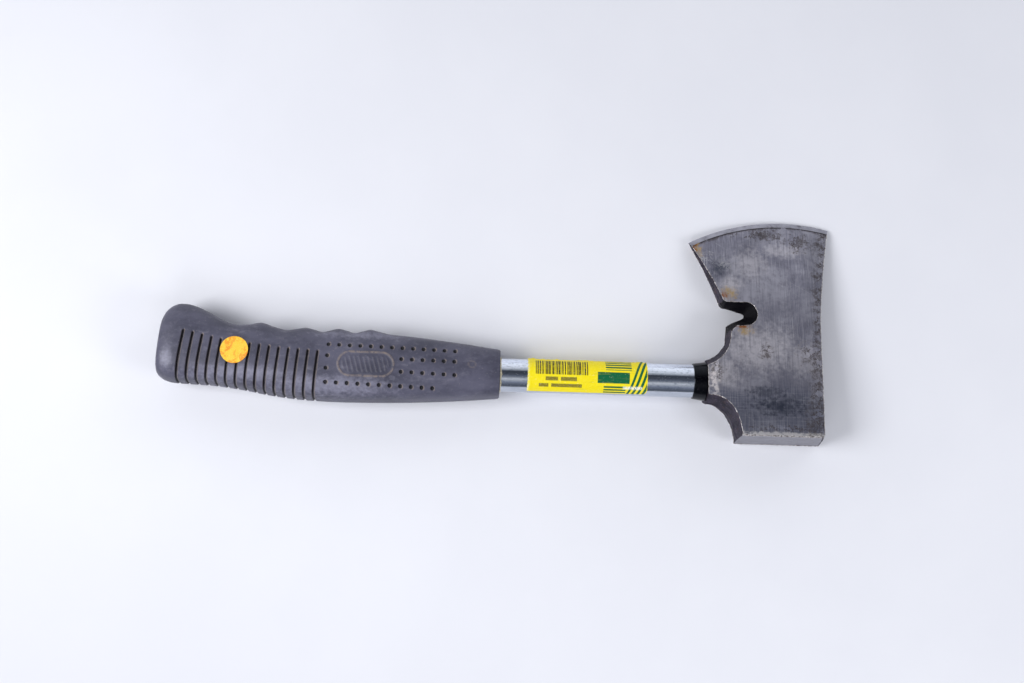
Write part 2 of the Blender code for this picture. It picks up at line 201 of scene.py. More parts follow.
# --- Own axes ---
def own_axes():
    """The matrix from the hatchet's own axes, in metres, to the row frame."""
    mounts = {mount["name"]: mount for mount in frame["record"]["mounts"]}
    up = Vector(mounts["upper_cheek"]["axis"]).normalized()
    along = (-Vector(mounts["poll_face"]["axis"])).cross(up).normalized()
    across = up.cross(along)
    turn = Matrix((along, across, up)).transposed()
    mount_place = Vector((POLL_MOUNT_X, POLL_FACE, 0)) * MM
    origin = Vector(mounts["poll_face"]["pos_m"]) - turn @ mount_place
    return Matrix.Translation(origin) @ turn.to_4x4()


OWN = own_axes()


# --- Shader nodes ---
class Value:
    """What comes out of a node, with arithmetic that adds nodes."""

    def __init__(self, nodes, socket):
        self.nodes, self.socket = nodes, socket

    def __add__(self, other):
        return self.nodes.calc("ADD", self, other)

    def __radd__(self, other):
        return self.nodes.calc("ADD", other, self)

    def __sub__(self, other):
        return self.nodes.calc("SUBTRACT", self, other)

    def __rsub__(self, other):
        return self.nodes.calc("SUBTRACT", other, self)

    def __mul__(self, other):
        return self.nodes.calc("MULTIPLY", self, other)

    def __truediv__(self, other):
        return self.nodes.calc("DIVIDE", self, other)

    def __abs__(self):
        return self.nodes.calc("ABSOLUTE", self)

    def calc(self, operation):
        return self.nodes.calc(operation, self)

    def band(self, low, high, start=0, end=1):
        """Goes smoothly from start to end while the value goes from low to high."""
        made = self.nodes.new("MapRange")
        made.interpolation_type = "SMOOTHSTEP"
        return self.nodes.fed(made, (self, low, high, start, end))


class Nodes:
    """Short ways to add nodes to a tree."""

    def __init__(self, tree):
        self.tree = tree

    def feed(self, socket, value):
        if isinstance(value, Value):
            self.tree.links.new(value.socket, socket)
        elif value is not None:
            socket.default_value = value

    def new(self, kind):
        return self.tree.nodes.new("ShaderNode" + kind)

    def fed(self, made, inputs=(), out=0):
        """Feeds a node's inputs, given in order or by name, and returns one of its outputs."""
        for key, value in inputs.items() if isinstance(inputs, dict) else enumerate(inputs):
            self.feed(made.inputs[key], value)
        return Value(self, made.outputs[out])

    def calc(self, operation, a, b=0):
        made = self.new("Math")
        made.operation = operation
        return self.fed(made, (a, b))

    def most(self, first, *others):
        for other in others:
            first = self.calc("MAXIMUM", first, other)
        return first

    def hypot(self, a, b):
        return (a * a + b * b).calc("SQRT")

    def split(self, vector):
        parts = self.new("SeparateXYZ")
        self.feed(parts.inputs[0], vector)
        return [Value(self, socket) for socket in parts.outputs]

    def mix(self, factor, *colours):
        a, b = ((*colour, 1) if isinstance(colour, tuple) else colour for colour in colours)
        made = self.new("Mix")
        made.data_type = "RGBA"
        return self.fed(made, {0: factor, 6: a, 7: b}, 2)


class Look(Nodes):
    """A Principled material, laid out in own millimetres. Its colour is painted in layers."""

    def __init__(self, name, **plain):
        self.material = bpy.data.materials.new(name)
        self.material.use_nodes = True
        super().__init__(self.material.node_tree)
        self.sockets = self.tree.nodes["Principled BSDF"].inputs
        for socket, value in plain.items():
            self.feed(self.sockets[socket.replace("_", " ")], value)
        own = {"Location": OWN.to_translation(), "Rotation": OWN.to_euler(), "Scale": (MM, MM, MM)}
        own["Vector"] = self.fed(self.new("TexCoord"), out="Object")
        lay = self.new("Mapping")
        lay.vector_type = "TEXTURE"
        self.place = self.fed(lay, own)
        self.x, self.y, self.z = self.split(self.place)

    def scaled(self, stretch, shift=0, turn=0):
        """The place, turned by degrees about Z, then stretched and shifted."""
        place = self.place
        if turn:
            rotation = (0, 0, radians(turn))
            place = self.fed(self.new("Mapping"), {"Vector": place, "Rotation": rotation})
        inputs = {"Vector": place, "Scale": stretch, "Location": (shift,) * 3}
        return self.fed(self.new("Mapping"), inputs)

    def noise(self, stretch, detail=4, rough=0.55, shift=0, turn=0, warp=0):
        """Fractal noise around 0.5. Stretch is the number of lumps per millimetre."""
        if not isinstance(stretch, tuple):
            stretch = (stretch,) * 3
        inputs = {"Vector": self.scaled(stretch, shift, turn), "Scale": 1, "Detail": detail}
        inputs = {**inputs, "Roughness": rough, "Distortion": warp}
        return self.fed(self.new("TexNoise"), inputs)

    def cells(self, feature, spread, shift, turn=0):
        made = self.new("TexVoronoi")
        made.feature = feature
        return self.fed(made, {"Vector": self.scaled(spread, shift, turn), "Scale": 1}, "Distance")

    def specks(self, per_mm, size, shift=0):
        """1 inside small scattered spots, 0 outside. Size is a share of the spots' spacing."""
        return self.cells("F1", (per_mm,) * 3, shift).band(size, size * 0.5)

    def scratches(self, turn, per_mm, length, width, shift=0):
        """Thin straight lines: the borders of very long cells."""
        spread = (per_mm, per_mm / length, per_mm / length)
        borders = self.cells("DISTANCE_TO_EDGE", spread, shift, turn)
        return borders.band(width, width * 0.3)

    def blob(self, x, y, half_x, half_y, ragged=0.35, strength=None):
        """1 at a place on the blade, falling to 0 at its half sizes, with a ragged border."""
        away = self.hypot((self.x - x) / half_x, (self.y - y) / half_y)
        uneven = self.noise(0.45, detail=5) - 0.5
        inside = (away + uneven * (ragged * 4)).band(1, 0.15)
        return inside * strength if strength else inside

    def blobs(self, *spots):
        return self.most(*(self.blob(*spot) for spot in spots))

    def attribute(self, name, out="Fac"):
        made = self.new("Attribute")
        made.attribute_name = name
        return self.fed(made, out=out)

    def base(self, amount, *colours):
        self.colour = self.mix(amount, *colours)

    def paint(self, amount, colour):
        self.base(amount, self.colour, colour)

    def finish(self, rough, height, millimetres, strength=1):
        """Sets colour, roughness and bump, and returns the material."""
        bump = {"Height": height, "Distance": millimetres * MM, "Strength": strength}
        bump = self.fed(self.new("Bump"), bump)
        self.feed(self.sockets["Base Color"], self.colour)
        self.feed(self.sockets["Roughness"], rough)
        self.feed(self.sockets["Normal"], bump)
        return self.material


# --- Materials ---
def ground_steel():
    """The cheeks: ground along Y, with smudges, stains and rust, darker towards the poll as painted
    reflection of dark surroundings, with painted highlights over the heel smudge.
    """
    look = Look("ground_steel", Metallic=0.9)
    lines = look.noise((4.2, 0.05, 0.6))
    long_lines = look.noise((1.1, 0.015, 0.3), detail=5, shift=7)
    cross_lines = look.noise((0.05, 2.6, 0.6), shift=11)
    cloud = look.noise(0.045, detail=6, rough=0.6, warp=0.4)
    mottle = look.noise(0.35, detail=6, rough=0.65, shift=3)
    grime = look.noise(0.16, detail=7, rough=0.7, shift=31)
    poll_half = (look.y + (cloud - 0.5) * 30).band(-2, -13)
    from_centre = look.hypot(look.x - EDGE_CENTRE[0], look.y - EDGE_CENTRE[1])
    inboard = (EDGE_RADIUS - BEVEL_WIDTH) - from_centre

    # Smudges and grinding lines, with painted reflection darkening the poll half and painted
    # highlights over the heel smudge
    look.base(cloud.band(0.35, 0.65), (0.225, 0.222, 0.280), (0.44, 0.43, 0.50))
    lighter = look.blobs(
        (133, 57, 9, 8), (126, 3, 15, 15), (148, 18, 31, 20, 0.3),
        (145, 70, 14, 14, 0.4, 0.7), (164, 79, 20, 6, 0.4, 0.7),
        (172, 12, 18, 14, 0.4, 0.7),
    )
    look.paint(lighter * 0.66, (0.76, 0.72, 0.76))
    # Darker towards the front edge
    darker_to_front = (look.x + look.y * -0.12 + cloud * 22).band(172, 192) * look.y.band(24, 44)
    look.paint(darker_to_front * 0.35, (0.16, 0.165, 0.20))
    look.paint(mottle.band(0.44, 0.70) * 0.5, (0.17, 0.165, 0.205))
    # Painted reflection: the poll half darker and bluish, as where it mirrors dark surroundings
    look.paint(poll_half * 0.62, (0.15, 0.16, 0.225))
    look.paint(lines.band(0.48, 0.70) * 0.45, (0.64, 0.63, 0.70))
    look.paint(long_lines.band(0.5, 0.72) * 0.38, (0.12, 0.12, 0.16))
    look.paint(cross_lines.band(0.5, 0.72) * poll_half * 0.45, (0.55, 0.56, 0.63))
    # A dark smudge by the heel, and bluish dark patches in the poll half painted as reflection of
    # dark surroundings
    dark = look.blobs(
        (126.5, 67, 8.5, 9.5), (158, -16, 24, 8.5, 0.5), (150, -8, 15, 4.5, 0.6, 0.8)
    )
    look.paint(dark * mottle.band(0.75, 0.3, 0.45, 0.85), (0.035, 0.045, 0.075))
    # Painted highlights: light swirls in the haze over the heel smudge
    swirl = abs(look.noise(0.16, detail=3, warp=2.5, shift=51) - 0.5).band(0.035, 0)
    haze = look.blobs((119, 74, 8, 5, 0.6), (129, 69.5, 6, 5, 0.6))
    look.paint(haze * look.most(swirl, mottle.band(0.5, 0.7)) * 0.8, (0.66, 0.65, 0.66))
    ground_edge = (look.y + (mottle - 0.5) * -5).band(-30.2, -31.6)
    look.paint(ground_edge * grime.band(0.34, 0.50) * 0.9, (0.92, 0.88, 0.88))

    # Stains along the rims and in spots, a dark line beside the bevel, rust and scratches
    front = (look.x + look.y * -0.1 + grime * 14).band(180, 185.5)
    rim = (inboard + grime * -6).band(-0.9, -2.6)
    stained = (
        (177, 15, 9, 8, 0.8), (122.5, 4, 6, 10, 0.6), (151.5, 16, 5, 6, 0.9),
        (173, 85, 9, 7, 0.9), (153, 89, 18, 4, 0.9), (160, -28.5, 26, 2.2, 0.9),
        (181, -20, 5, 12, 0.8),
    )
    spots = [look.blob(*spot) for spot in stained]
    stain = look.most(front * mottle.band(0.36, 0.56), rim * 0.9, *spots)
    vein = abs(grime - 0.47).band(0.034, 0.012)
    spread = look.most(vein, grime.band(0.48, 0.56) * 0.8)
    look.paint(stain * spread * 0.88, (0.075, 0.058, 0.050))
    fleck = look.blob(121, -3, 4.5, 14, 0.5) * mottle.band(0.44, 0.54)
    look.paint(fleck * 0.85, (0.88, 0.82, 0.82))
    look.paint(inboard.band(0.95, 0.45) * grime.band(0.40, 0.50) * 0.75, (0.045, 0.04, 0.045))
    glow = look.blobs(
        (131.5, 51.5, 6.5, 5.5, 0.5), (140, 29, 6, 4, 0.5), (113, 79, 5, 9, 0.6)
    )
    look.paint(glow * mottle.band(0.25, 0.6) * 0.8, (0.58, 0.40, 0.17))
    rust = look.blobs(
        (128.6, 50.2, 3.4, 3.4, 0.5), (139, 30.8, 5, 1.8, 0.5), (112, 80, 3, 8, 0.6)
    )
    look.paint(rust * mottle.band(0.3, 0.55) * 0.85, (0.30, 0.095, 0.02))
    steep_marks = look.scratches(-58, 0.07, 24, 0.006, 5)
    marks = look.most(look.scratches(4, 0.10, 30, 0.008), steep_marks)
    marks = marks * look.noise(0.06, shift=21).band(0.5, 0.68)
    look.paint(marks * 0.35, (0.66, 0.66, 0.68))
    rough = 0.33 + lines * 0.14 + mottle * 0.12 + stain * 0.15 + rust * 0.3
    return look.finish(rough, lines * 0.7 + long_lines * 0.5 + marks * -0.4, 0.05)


def bevel_steel():
    """The bevel along the cutting edge, ground round and brighter, dull in patches."""
    look = Look("edge_bevel_steel", Metallic=0.85)
    lines = look.noise((3, 0.5, 1))
    patches = look.noise(0.22, detail=6, shift=4)
    look.base(patches.band(0.35, 0.7), (0.42, 0.415, 0.475), (0.30, 0.295, 0.34))
    look.paint(patches.band(0.56, 0.68) * 0.6, (0.11, 0.10, 0.11))
    ends = look.most(look.x.band(150, 190), look.x.band(122, 103))
    look.paint(ends * 0.35, (0.22, 0.22, 0.26))
    return look.finish(0.36 + lines * 0.2, lines, 0.04)


def poll_steel():
    """The poll's face: ground flat, matt light grey."""
    look = Look("poll_face_steel", Metallic=0.75)
    lines = look.noise((0.08, 1, 6), detail=3)
    patches = look.noise((0.1, 0.3, 0.35), detail=6, shift=2)
    look.base(patches.band(0.3, 0.75), (0.33, 0.325, 0.365), (0.24, 0.235, 0.265))
    look.paint(lines.band(0.5, 0.72) * 0.4, (0.46, 0.455, 0.50))
    worn = look.noise((0.3, 0.3, 0.9), detail=6, shift=9).band(0.56, 0.68)
    look.paint(worn * 0.55, (0.13, 0.11, 0.12))
    look.paint(look.specks(0.5, 0.2) * 0.5, (0.1, 0.08, 0.07))
    return look.finish(0.42 + lines * 0.14, lines + patches * 0.5, 0.05)


def forging_scale():
    """The walls between the cheeks: dark scale over pitted forged steel, brown in places."""
    look = Look("forging_scale", Metallic=0.15, Specular_IOR_Level=0.3)
    pits = look.noise(1.3, detail=6, rough=0.65)
    patches = look.noise(0.2, detail=5, shift=6)
    look.base(patches.band(0.35, 0.7), (0.014, 0.012, 0.022), (0.046, 0.037, 0.058))
    look.paint(pits.band(0.54, 0.70) * 0.7, (0.20, 0.175, 0.225))
    brown = look.noise(0.4, detail=6, shift=14).band(0.56, 0.7)
    look.paint(brown * 0.45, (0.085, 0.038, 0.026))
    return look.finish(pits.band(0.3, 0.7, 0.5, 0.85), pits, 0.22)


def shaded_notch_scale():
    """Inside the nail notch the scale is oily and dark, and painted nearly black as shade in the
    hollow.
    """
    look = Look("shaded_notch_scale", Metallic=0, Specular_IOR_Level=0.12)
    pits = look.noise(1.5, detail=6, rough=0.65, shift=8)
    look.base(pits.band(0.45, 0.8), (0.0015, 0.0015, 0.003), (0.018, 0.014, 0.020))
    return look.finish(pits.band(0.3, 0.7, 0.35, 0.7), pits, 0.25)


def burr_steel():
    """The ragged line along the cheeks' edges: bright where rubbed, dark between."""
    look = Look("burr_steel", Metallic=0.85)
    flecks = look.noise(0.9, detail=5, rough=0.7)
    look.base(flecks.band(0.40, 0.54), (0.14, 0.11, 0.10), (0.80, 0.76, 0.75))
    return look.finish(flecks.band(0.3, 0.7, 0.6, 0.35), flecks, 0.1)


def chrome():
    """Chrome plating, scuffed along the shaft, with a dull film in patches, some dust and painted
    shade along its lower side.
    """
    look = Look("shaft_chrome", Metallic=1)
    haze = look.noise((0.05, 0.3, 0.3), detail=6, rough=0.65)
    lines = look.noise((0.05, 3, 3), detail=3, shift=3)
    film = look.noise((0.35, 0.9, 0.9), detail=7, rough=0.75, shift=13)
    dust = look.specks(0.9, 0.16)
    look.base(haze.band(0.35, 0.75), (0.83, 0.88, 0.98), (0.67, 0.74, 0.85))
    look.paint(film.band(0.50, 0.62) * 0.5, (0.38, 0.44, 0.54))
    look.paint(dust * 0.45, (0.45, 0.43, 0.40))
    # Painted shade: the lower side darkened, as where it mirrors the shadowed floor
    painted_low_shade = look.y.band(-5, -7.5) * haze.band(0.2, 0.6, 0.75, 1)
    look.paint(painted_low_shade * 0.62, (0.40, 0.43, 0.48))
    rough = 0.06 + haze.band(0.45, 0.75) * 0.10 + dust * 0.3 + film.band(0.5, 0.66) * 0.12
    return look.finish(rough, lines + haze * 0.8 + film * 0.9, 0.022)


def gloss_plastic():
    """The collar: glossy black, with some dust."""
    bluish = (0.80, 0.88, 1, 1)
    look = Look("collar_gloss_black", IOR=1.5, Specular_IOR_Level=0.22, Specular_Tint=bluish)
    haze = look.noise(0.35, detail=5)
    dust = look.specks(1.1, 0.17)
    look.base(dust * 0.35, (0.0008, 0.0008, 0.0016), (0.14, 0.13, 0.14))
    return look.finish(0.12 + haze * 0.16 + dust * 0.4, haze, 0.05)


def turned_steel():
    """The plug's end: rings left by the lathe tool."""
    look = Look("turned_plug_steel", Metallic=0.9)
    rings = (look.hypot(look.y, look.z) * 14).calc("SINE")
    patches = look.noise(0.5, detail=5)
    look.base(patches.band(0.4, 0.65), (0.22, 0.21, 0.21), (0.10, 0.075, 0.06))
    return look.finish(0.4 + patches * 0.2, rings * 0.5 + patches, 0.05)


def moulded_plastic():
    look = Look("end_plug_plastic", Roughness=0.5)
    grain = look.noise(2)
    look.base(grain.band(0.4, 0.7), (0.02, 0.02, 0.02), (0.04, 0.04, 0.04))
    return look.finish(None, grain, 0.04)


def grip_rubber():
    """Dark blue-grey rubber, rubbed lighter in places, with painted sheen on the palm side, pommel
    and finger edge, painted shadow in the slots and dimples, and dust on their rims that is partly
    painted light on the lit side.
    """
    look = Look("grip_rubber", IOR=1.45)
    grain = look.noise(3.2, rough=0.6)
    skin = look.noise(0.5, detail=6, rough=0.65, shift=3)
    cloud = look.noise((0.035, 0.07, 0.07), detail=6, rough=0.6, shift=9)
    rubs = look.noise((0.10, 0.2, 0.2), detail=6, rough=0.65, shift=27)
    look.base(cloud.band(0.32, 0.68), (0.050, 0.050, 0.076), (0.098, 0.096, 0.140))
    look.paint(skin.band(0.5, 0.75) * 0.4, (0.15, 0.145, 0.19))
    look.paint(rubs.band(0.54, 0.72) * 0.45, (0.19, 0.185, 0.235))
    # Painted sheen: lighter bands on the palm side, the pommel's end and the finger edge, standing
    # in for highlights
    palm = look.blobs(
        (-96, -12, 50, 7, 0.3), (-146, -6.5, 42, 6, 0.3),
        (-186.3, 0.5, 5, 9.5, 0.2), (-78, 17.5, 34, 3.5, 0.4, 0.7),
    )
    look.paint(palm * skin.band(0.1, 0.75, 0.3, 0.75), (0.28, 0.275, 0.36))
    # Darker in two patches: by the mouth and on the finger side near the pommel
    darker_patches = look.blobs((-24, 4, 24, 12, 0.5), (-164, 22, 14, 8, 0.4))
    look.paint(darker_patches * 0.3, (0.040, 0.040, 0.062))
    scuffs = look.scratches(8, 0.16, 5, 0.02) * look.noise(0.05, shift=17).band(0.56, 0.7)
    scuffs = scuffs * skin.band(0.4, 0.6)
    look.paint(scuffs * 0.25, (0.26, 0.25, 0.27))
    # Dust on the rims of the slots and dimples towards +X, partly painted light where those rims
    # face the lamp
    dust_and_lit_rims = look.attribute("dust") * look.noise(0.9, detail=5, shift=5).band(0.30, 0.52)
    look.paint(dust_and_lit_rims * 0.85, (0.235, 0.19, 0.17))
    # Painted shadow in the slots and dimples, nearly black
    recess_shadow = look.attribute("painted_shadow")
    look.paint(recess_shadow.band(0.15, 0.8) * 0.95, (0.004, 0.004, 0.005))
    look.paint(look.specks(0.45, 0.10, shift=2) * 0.4, (0.34, 0.31, 0.30))
    rough = 0.38 + skin * 0.18 + dust_and_lit_rims * 0.25 + recess_shadow * 0.2
    return look.finish(rough, grain * 0.6 + skin * 0.9 + scuffs * -0.3, 0.07)


def cured_adhesive():
    look = Look("cured_adhesive", Roughness=0.35)
    uneven = look.noise(0.8)
    look.base(uneven.band(0.35, 0.7), (0.66, 0.60, 0.42), (0.40, 0.34, 0.22))
    return look.finish(None, uneven, 0.15)


def sticker_paper():
    """Orange paper rubbed through to yellow in blotches."""
    look = Look("price_sticker_paper", Roughness=0.55)
    blotch = look.noise((0.35, 0.22, 0.3), detail=6, rough=0.62, warp=0.8, turn=35)
    fine = look.noise(1.6, shift=6)
    look.base(blotch.band(0.46, 0.60), (0.95, 0.58, 0.04), (0.86, 0.30, 0.015))
    look.paint(fine.band(0.5, 0.7) * 0.6, (0.98, 0.74, 0.15))
    return look.finish(None, fine + blotch, 0.06)


def label_paper():
    """Yellow printed film: a block of bars, two rows of plain dashes, a green panel and stripes.

    The attribute "flat" holds each point's place on the unrolled label: millimetres from its left
    edge, and millimetres round the tube from the top line, towards -Y.
    """
    look = Look("wrap_label_film", Specular_IOR_Level=0.3)
    across, around, _ = look.split(look.attribute("flat", "Vector"))

    def box(x0, x1, v0, v1, soft=0.12):
        inside = across.band(x0 - soft, x0 + soft) * across.band(x1 + soft, x1 - soft)
        return inside * around.band(v0 - soft, v0 + soft) * around.band(v1 + soft, v1 - soft)

    worn = look.noise(0.8, detail=6, rough=0.65)
    fine = look.noise(2.6, shift=5)
    fade = look.noise(0.5, detail=6, shift=11).band(0.64, 0.52)
    look.base(worn.band(0.4, 0.8), (0.90, 0.73, 0.004), (0.92, 0.80, 0.04))
    bars = look.new("TexNoise")
    bars.noise_dimensions = "1D"
    bars = look.fed(bars, {"W": across * 1.5 + 3, "Scale": 1, "Detail": 1})
    ink = box(4.2, 33.9, -8.9, 0.8) * bars.band(0.48 - 0.02, 0.48 + 0.02)
    look.paint(ink * fade.band(0, 1, 0.75, 1), (0.018, 0.016, 0.014))
    dashes = look.most(
        box(9.9, 16.9, 2.1, 4.3), box(18.5, 27.6, 2.1, 4.3),
        box(6.2, 11.6, 6, 8.2), box(13.2, 30.6, 6, 8.2),
    )
    look.paint(dashes * 0.85 * fine.band(0.3, 0.45), (0.09, 0.075, 0.025))
    lines = (around * 0.52).calc("FRACT").band(0.40, 0.48)
    slant = across + around * 0.35
    stripe = (slant * 0.34).calc("FRACT").band(0.42, 0.52)
    stripe = stripe * slant.band(60.2, 60.5) * across.band(67.7, 67.4)
    green = look.most(
        box(39.4, 57.6, -1.4, 4.9), box(44, 58.8, -10.6, -2.6) * lines,
        box(43, 55.6, 6.3, 11.6) * lines, stripe,
    )
    look.paint(green * fine.band(0.2, 0.32), (0.003, 0.120, 0.045))
    scuff = look.noise(0.9, detail=6, rough=0.7, shift=23).band(0.6, 0.72) * 0.8
    look.paint(scuff, (0.86, 0.84, 0.66))
    border = look.most(around.band(-13, -15.5), across.band(1.1, 0.2))
    rubbed = look.most(
        box(54, 65, 6.6, 8.4, 0.6) * fine.band(0.4, 0.5), border * fine.band(0.5, 0.6)
    )
    look.paint(rubbed, (0.88, 0.89, 0.84))
    # Darker yellow streaks along the shaft
    darker_streaks = look.noise((0.10, 1.2, 1.2), detail=5, shift=41).band(0.60, 0.66)
    look.paint(darker_streaks * 0.35, (0.52, 0.44, 0.05))
    return look.finish(0.40 + worn * 0.2 + scuff * 0.2, worn + fine * 0.4, 0.05)


def floor_sheet():
    """Pale woven sheet: a faint square weave, a little unevenness, and painted shade towards the
    front left.
    """
    look = Look("floor_sheet", Roughness=0.55)
    weave = ((look.x * 2.6).calc("SINE") + (look.y * 2.6).calc("SINE")) * 0.25
    uneven = look.noise(0.01)
    look.base(uneven.band(0.3, 0.7), (0.785, 0.788, 0.838), (0.81, 0.812, 0.86))
    # Painted shade: darker towards the front left, evening out the left lamp's bright pool
    painted_shade_left = (look.x * -0.6 + look.y * -1).band(90, 420)
    look.paint(painted_shade_left * 0.7, (0.60, 0.602, 0.645))
    return look.finish(None, weave, 0.02, 0.5)


# --- Shapes ---
def arc(centre, radii, start, end, steps):
    points = []
    for step in range(steps + 1):
        angle = radians(start + (end - start) * step / steps)
        reach = (radii[0] * cos(angle), radii[1] * sin(angle))
        points.append(Vector((centre[0] + reach[0], centre[1] + reach[1])))
    return points


def bow(start, end, rise, steps):
    """A shallow curve between two points that stands rise to the right of the straight line."""
    start, end = Vector(start), Vector(end)
    along = end - start
    side = Vector((along.y, -along.x)).normalized()
    parts = [step / steps for step in range(steps + 1)]
    return [start + along * part + side * (4 * rise * part * (1 - part)) for part in parts]


def angles(sides):
    return [2 * pi * side / sides for side in range(sides)]


def smooth_value(table, x):
    """A smooth curve through the table's points, read at x."""
    x = min(max(x, table[0][0]), table[-1][0])
    place = max(i for i in range(len(table) - 1) if table[i][0] <= x)
    (x0, y0), (x1, y1) = table[place], table[place + 1]
    before = table[max(place - 1, 0)]
    after = table[min(place + 2, len(table) - 1)]
    slope0 = (y1 - before[1]) / (x1 - before[0])
    slope1 = (after[1] - y0) / (after[0] - x0)
    span = x1 - x0
    t = (x - x0) / span
    rise = y0 * (1 + 2 * t) * (1 - t) ** 2 + y1 * t * t * (3 - 2 * t)
    return rise + slope0 * span * t * (1 - t) ** 2 + slope1 * span * t * t * (t - 1)


def smoothstep(low, high, value):
    part = np.clip((value - low) / (high - low), 0, 1)
    return part * part * (3 - 2 * part)


def lumps(x, y, z, size, octaves=3):
    """Fractal noise about -1 to 1, with lumps of that size in millimetres."""
    return noise.fractal(Vector((x, y, z)) / size, 1, 2, octaves)


def mesh_of(name, points, faces):
    mesh = bpy.data.meshes.new(name)
    mesh.from_pydata([tuple(point) for point in points], [], faces)
    mesh.validate()
    return mesh


def rework(mesh, change):
    bm = bmesh.new()
    bm.from_mesh(mesh)
    change(bm)
    bm.to_mesh(mesh)
    bm.free()
    return mesh


def turn_faces_out(bm):
    bmesh.ops.recalc_face_normals(bm, faces=bm.faces)


def add_attribute(mesh, name, values):
    kind, field = ("FLOAT_VECTOR", "vector") if values.ndim > 1 else ("FLOAT", "value")
    attribute = mesh.attributes.new(name, kind, "POINT")
    attribute.data.foreach_set(field, values.astype(np.float32).ravel())


def placed(name, data):
    obj = bpy.data.objects.new(name, data)
    bpy.context.scene.collection.objects.link(obj)
    return obj


def ring_faces(rings, around, ends="open", first=0):
    """Quads between rings of points in a row, with the ends open, capped or joined in a loop."""
    faces = []
    for ring in range(rings if ends == "joined" else rings - 1):
        here, there = first + ring * around, first + (ring + 1) % rings * around
        for i in range(around):
            j = (i + 1) % around
            faces.append((here + i, here + j, there + j, there + i))
    if ends == "capped":
        last = first + rings * around
        faces.append(tuple(range(first, first + around)))
        faces.append(tuple(range(last - 1, last - 1 - around, -1)))
    return faces


def add_piece(mesh, sharp_angle, materials, slot, *nodes):
    """Makes a mesh drawn in millimetres in the hatchet's own axes a piece of it."""
    mesh.transform(OWN @ Matrix.Scale(MM, 4))
    for made in materials:
        mesh.materials.append(made)
    rework(mesh, turn_faces_out)
    obj = placed(mesh.name, mesh)
    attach(obj, "root")
    if nodes:
        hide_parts(*nodes)
    mesh.shade_smooth()
    mesh.set_sharp_from_angle(angle=radians(sharp_angle))


def turned(name, profile, sides=ROUND_SIDES, shape=lambda x, radius, angle: (x, radius)):
    """A ring or plug turned about the shaft's axis from (x, radius) points, each put in shape."""
    spots = [(*shape(*spot, angle), angle) for spot in profile for angle in angles(sides)]
    points = [(x, reach * cos(angle), reach * sin(angle)) for x, reach, angle in spots]
    hollow = spots[0][1] > 0 and spots[-1][1] > 0
    faces = ring_faces(len(profile), sides, "joined" if hollow else "open")
    mesh = mesh_of(name, points, faces)
    return rework(mesh, lambda bm: bmesh.ops.remove_doubles(bm, verts=bm.verts, dist=0.0005))


# --- Head ---
def head_outline(at_cheek):
    """The head seen from the side, at its parting line or where its cheeks are thickest."""
    neck, blade_back, blade_front, heel, throat = HEAD_FORMS[at_cheek]
    front = FRONT_FACE - (FRONT_DRAFT if at_cheek else 0)
    corner = (front - CORNER_RADIUS, POLL_FACE + CORNER_RADIUS)
    outline = arc(*neck, 0, 32) + bow(*blade_back, 2.1, 24)
    outline += bow(blade_front, (front, 30), 1.3, 24)
    outline += arc(corner, (CORNER_RADIUS, CORNER_RADIUS), 0, -90, 12)
    return outline + [Vector(heel)] + arc(*throat, 90, 40)


def notch_outline(at_cheek):
    """The nail notch: a narrow V at the parting line that opens into a wide dish at the cheeks."""
    upper, tip, lower = NOTCH_FORMS[at_cheek]
    return [*map(Vector, upper), *arc(*tip, 75, -70, 20), *map(Vector, lower)]


def divide_together(near, far, step):
    """Splits both outlines the same way, so that the first has a point about every step."""
    split_near, split_far = [], []
    for i in range(len(near)):
        j = (i + 1) % len(near)
        parts = max(1, round((near[j] - near[i]).length / step))
        for part in range(parts):
            split_near.append(near[i].lerp(near[j], part / parts))
            split_far.append(far[i].lerp(far[j], part / parts))
    return split_near, split_far


def outward_normals(outline):
    area = sum(a.x * b.y - b.x * a.y for a, b in zip(outline, outline[1:] + outline[:1]))
    sign = 1 if area > 0 else -1
    normals = []
    for i in range(len(outline)):
        along = (outline[(i + 1) % len(outline)] - outline[i - 1]).normalized()
        normals.append(Vector((along.y, -along.x)) * sign)
    return normals


def rough_solid(name, points, faces):
    """A working solid for the booleans, with its faces out. It is removed once the head is cut."""
    mesh = mesh_of(name, points, faces)
    rework(mesh, lambda bm: bmesh.ops.triangulate(bm, faces=bm.faces))
    return placed(name, rework(mesh, turn_faces_out))


def forged_prism(name, outline, face_level, forge):
    """A drafted solid between an outline's two forms, with walls uneven like a forging's."""
    near, far = divide_together(outline(False), outline(True), FORGED_STEP)
    normals = outward_normals(near)
    levels = [-level for level in reversed(FORGED_LEVELS)] + [0, *FORGED_LEVELS]
    points = []
    for level in levels:
        for inner, outer, normal in zip(near, far, normals):
            spot = forge(inner.lerp(outer, abs(level) / face_level), normal, level)
            points.append((spot.x, spot.y, level))
    return rough_solid(name, points, ring_faces(len(levels), len(near), "capped"))


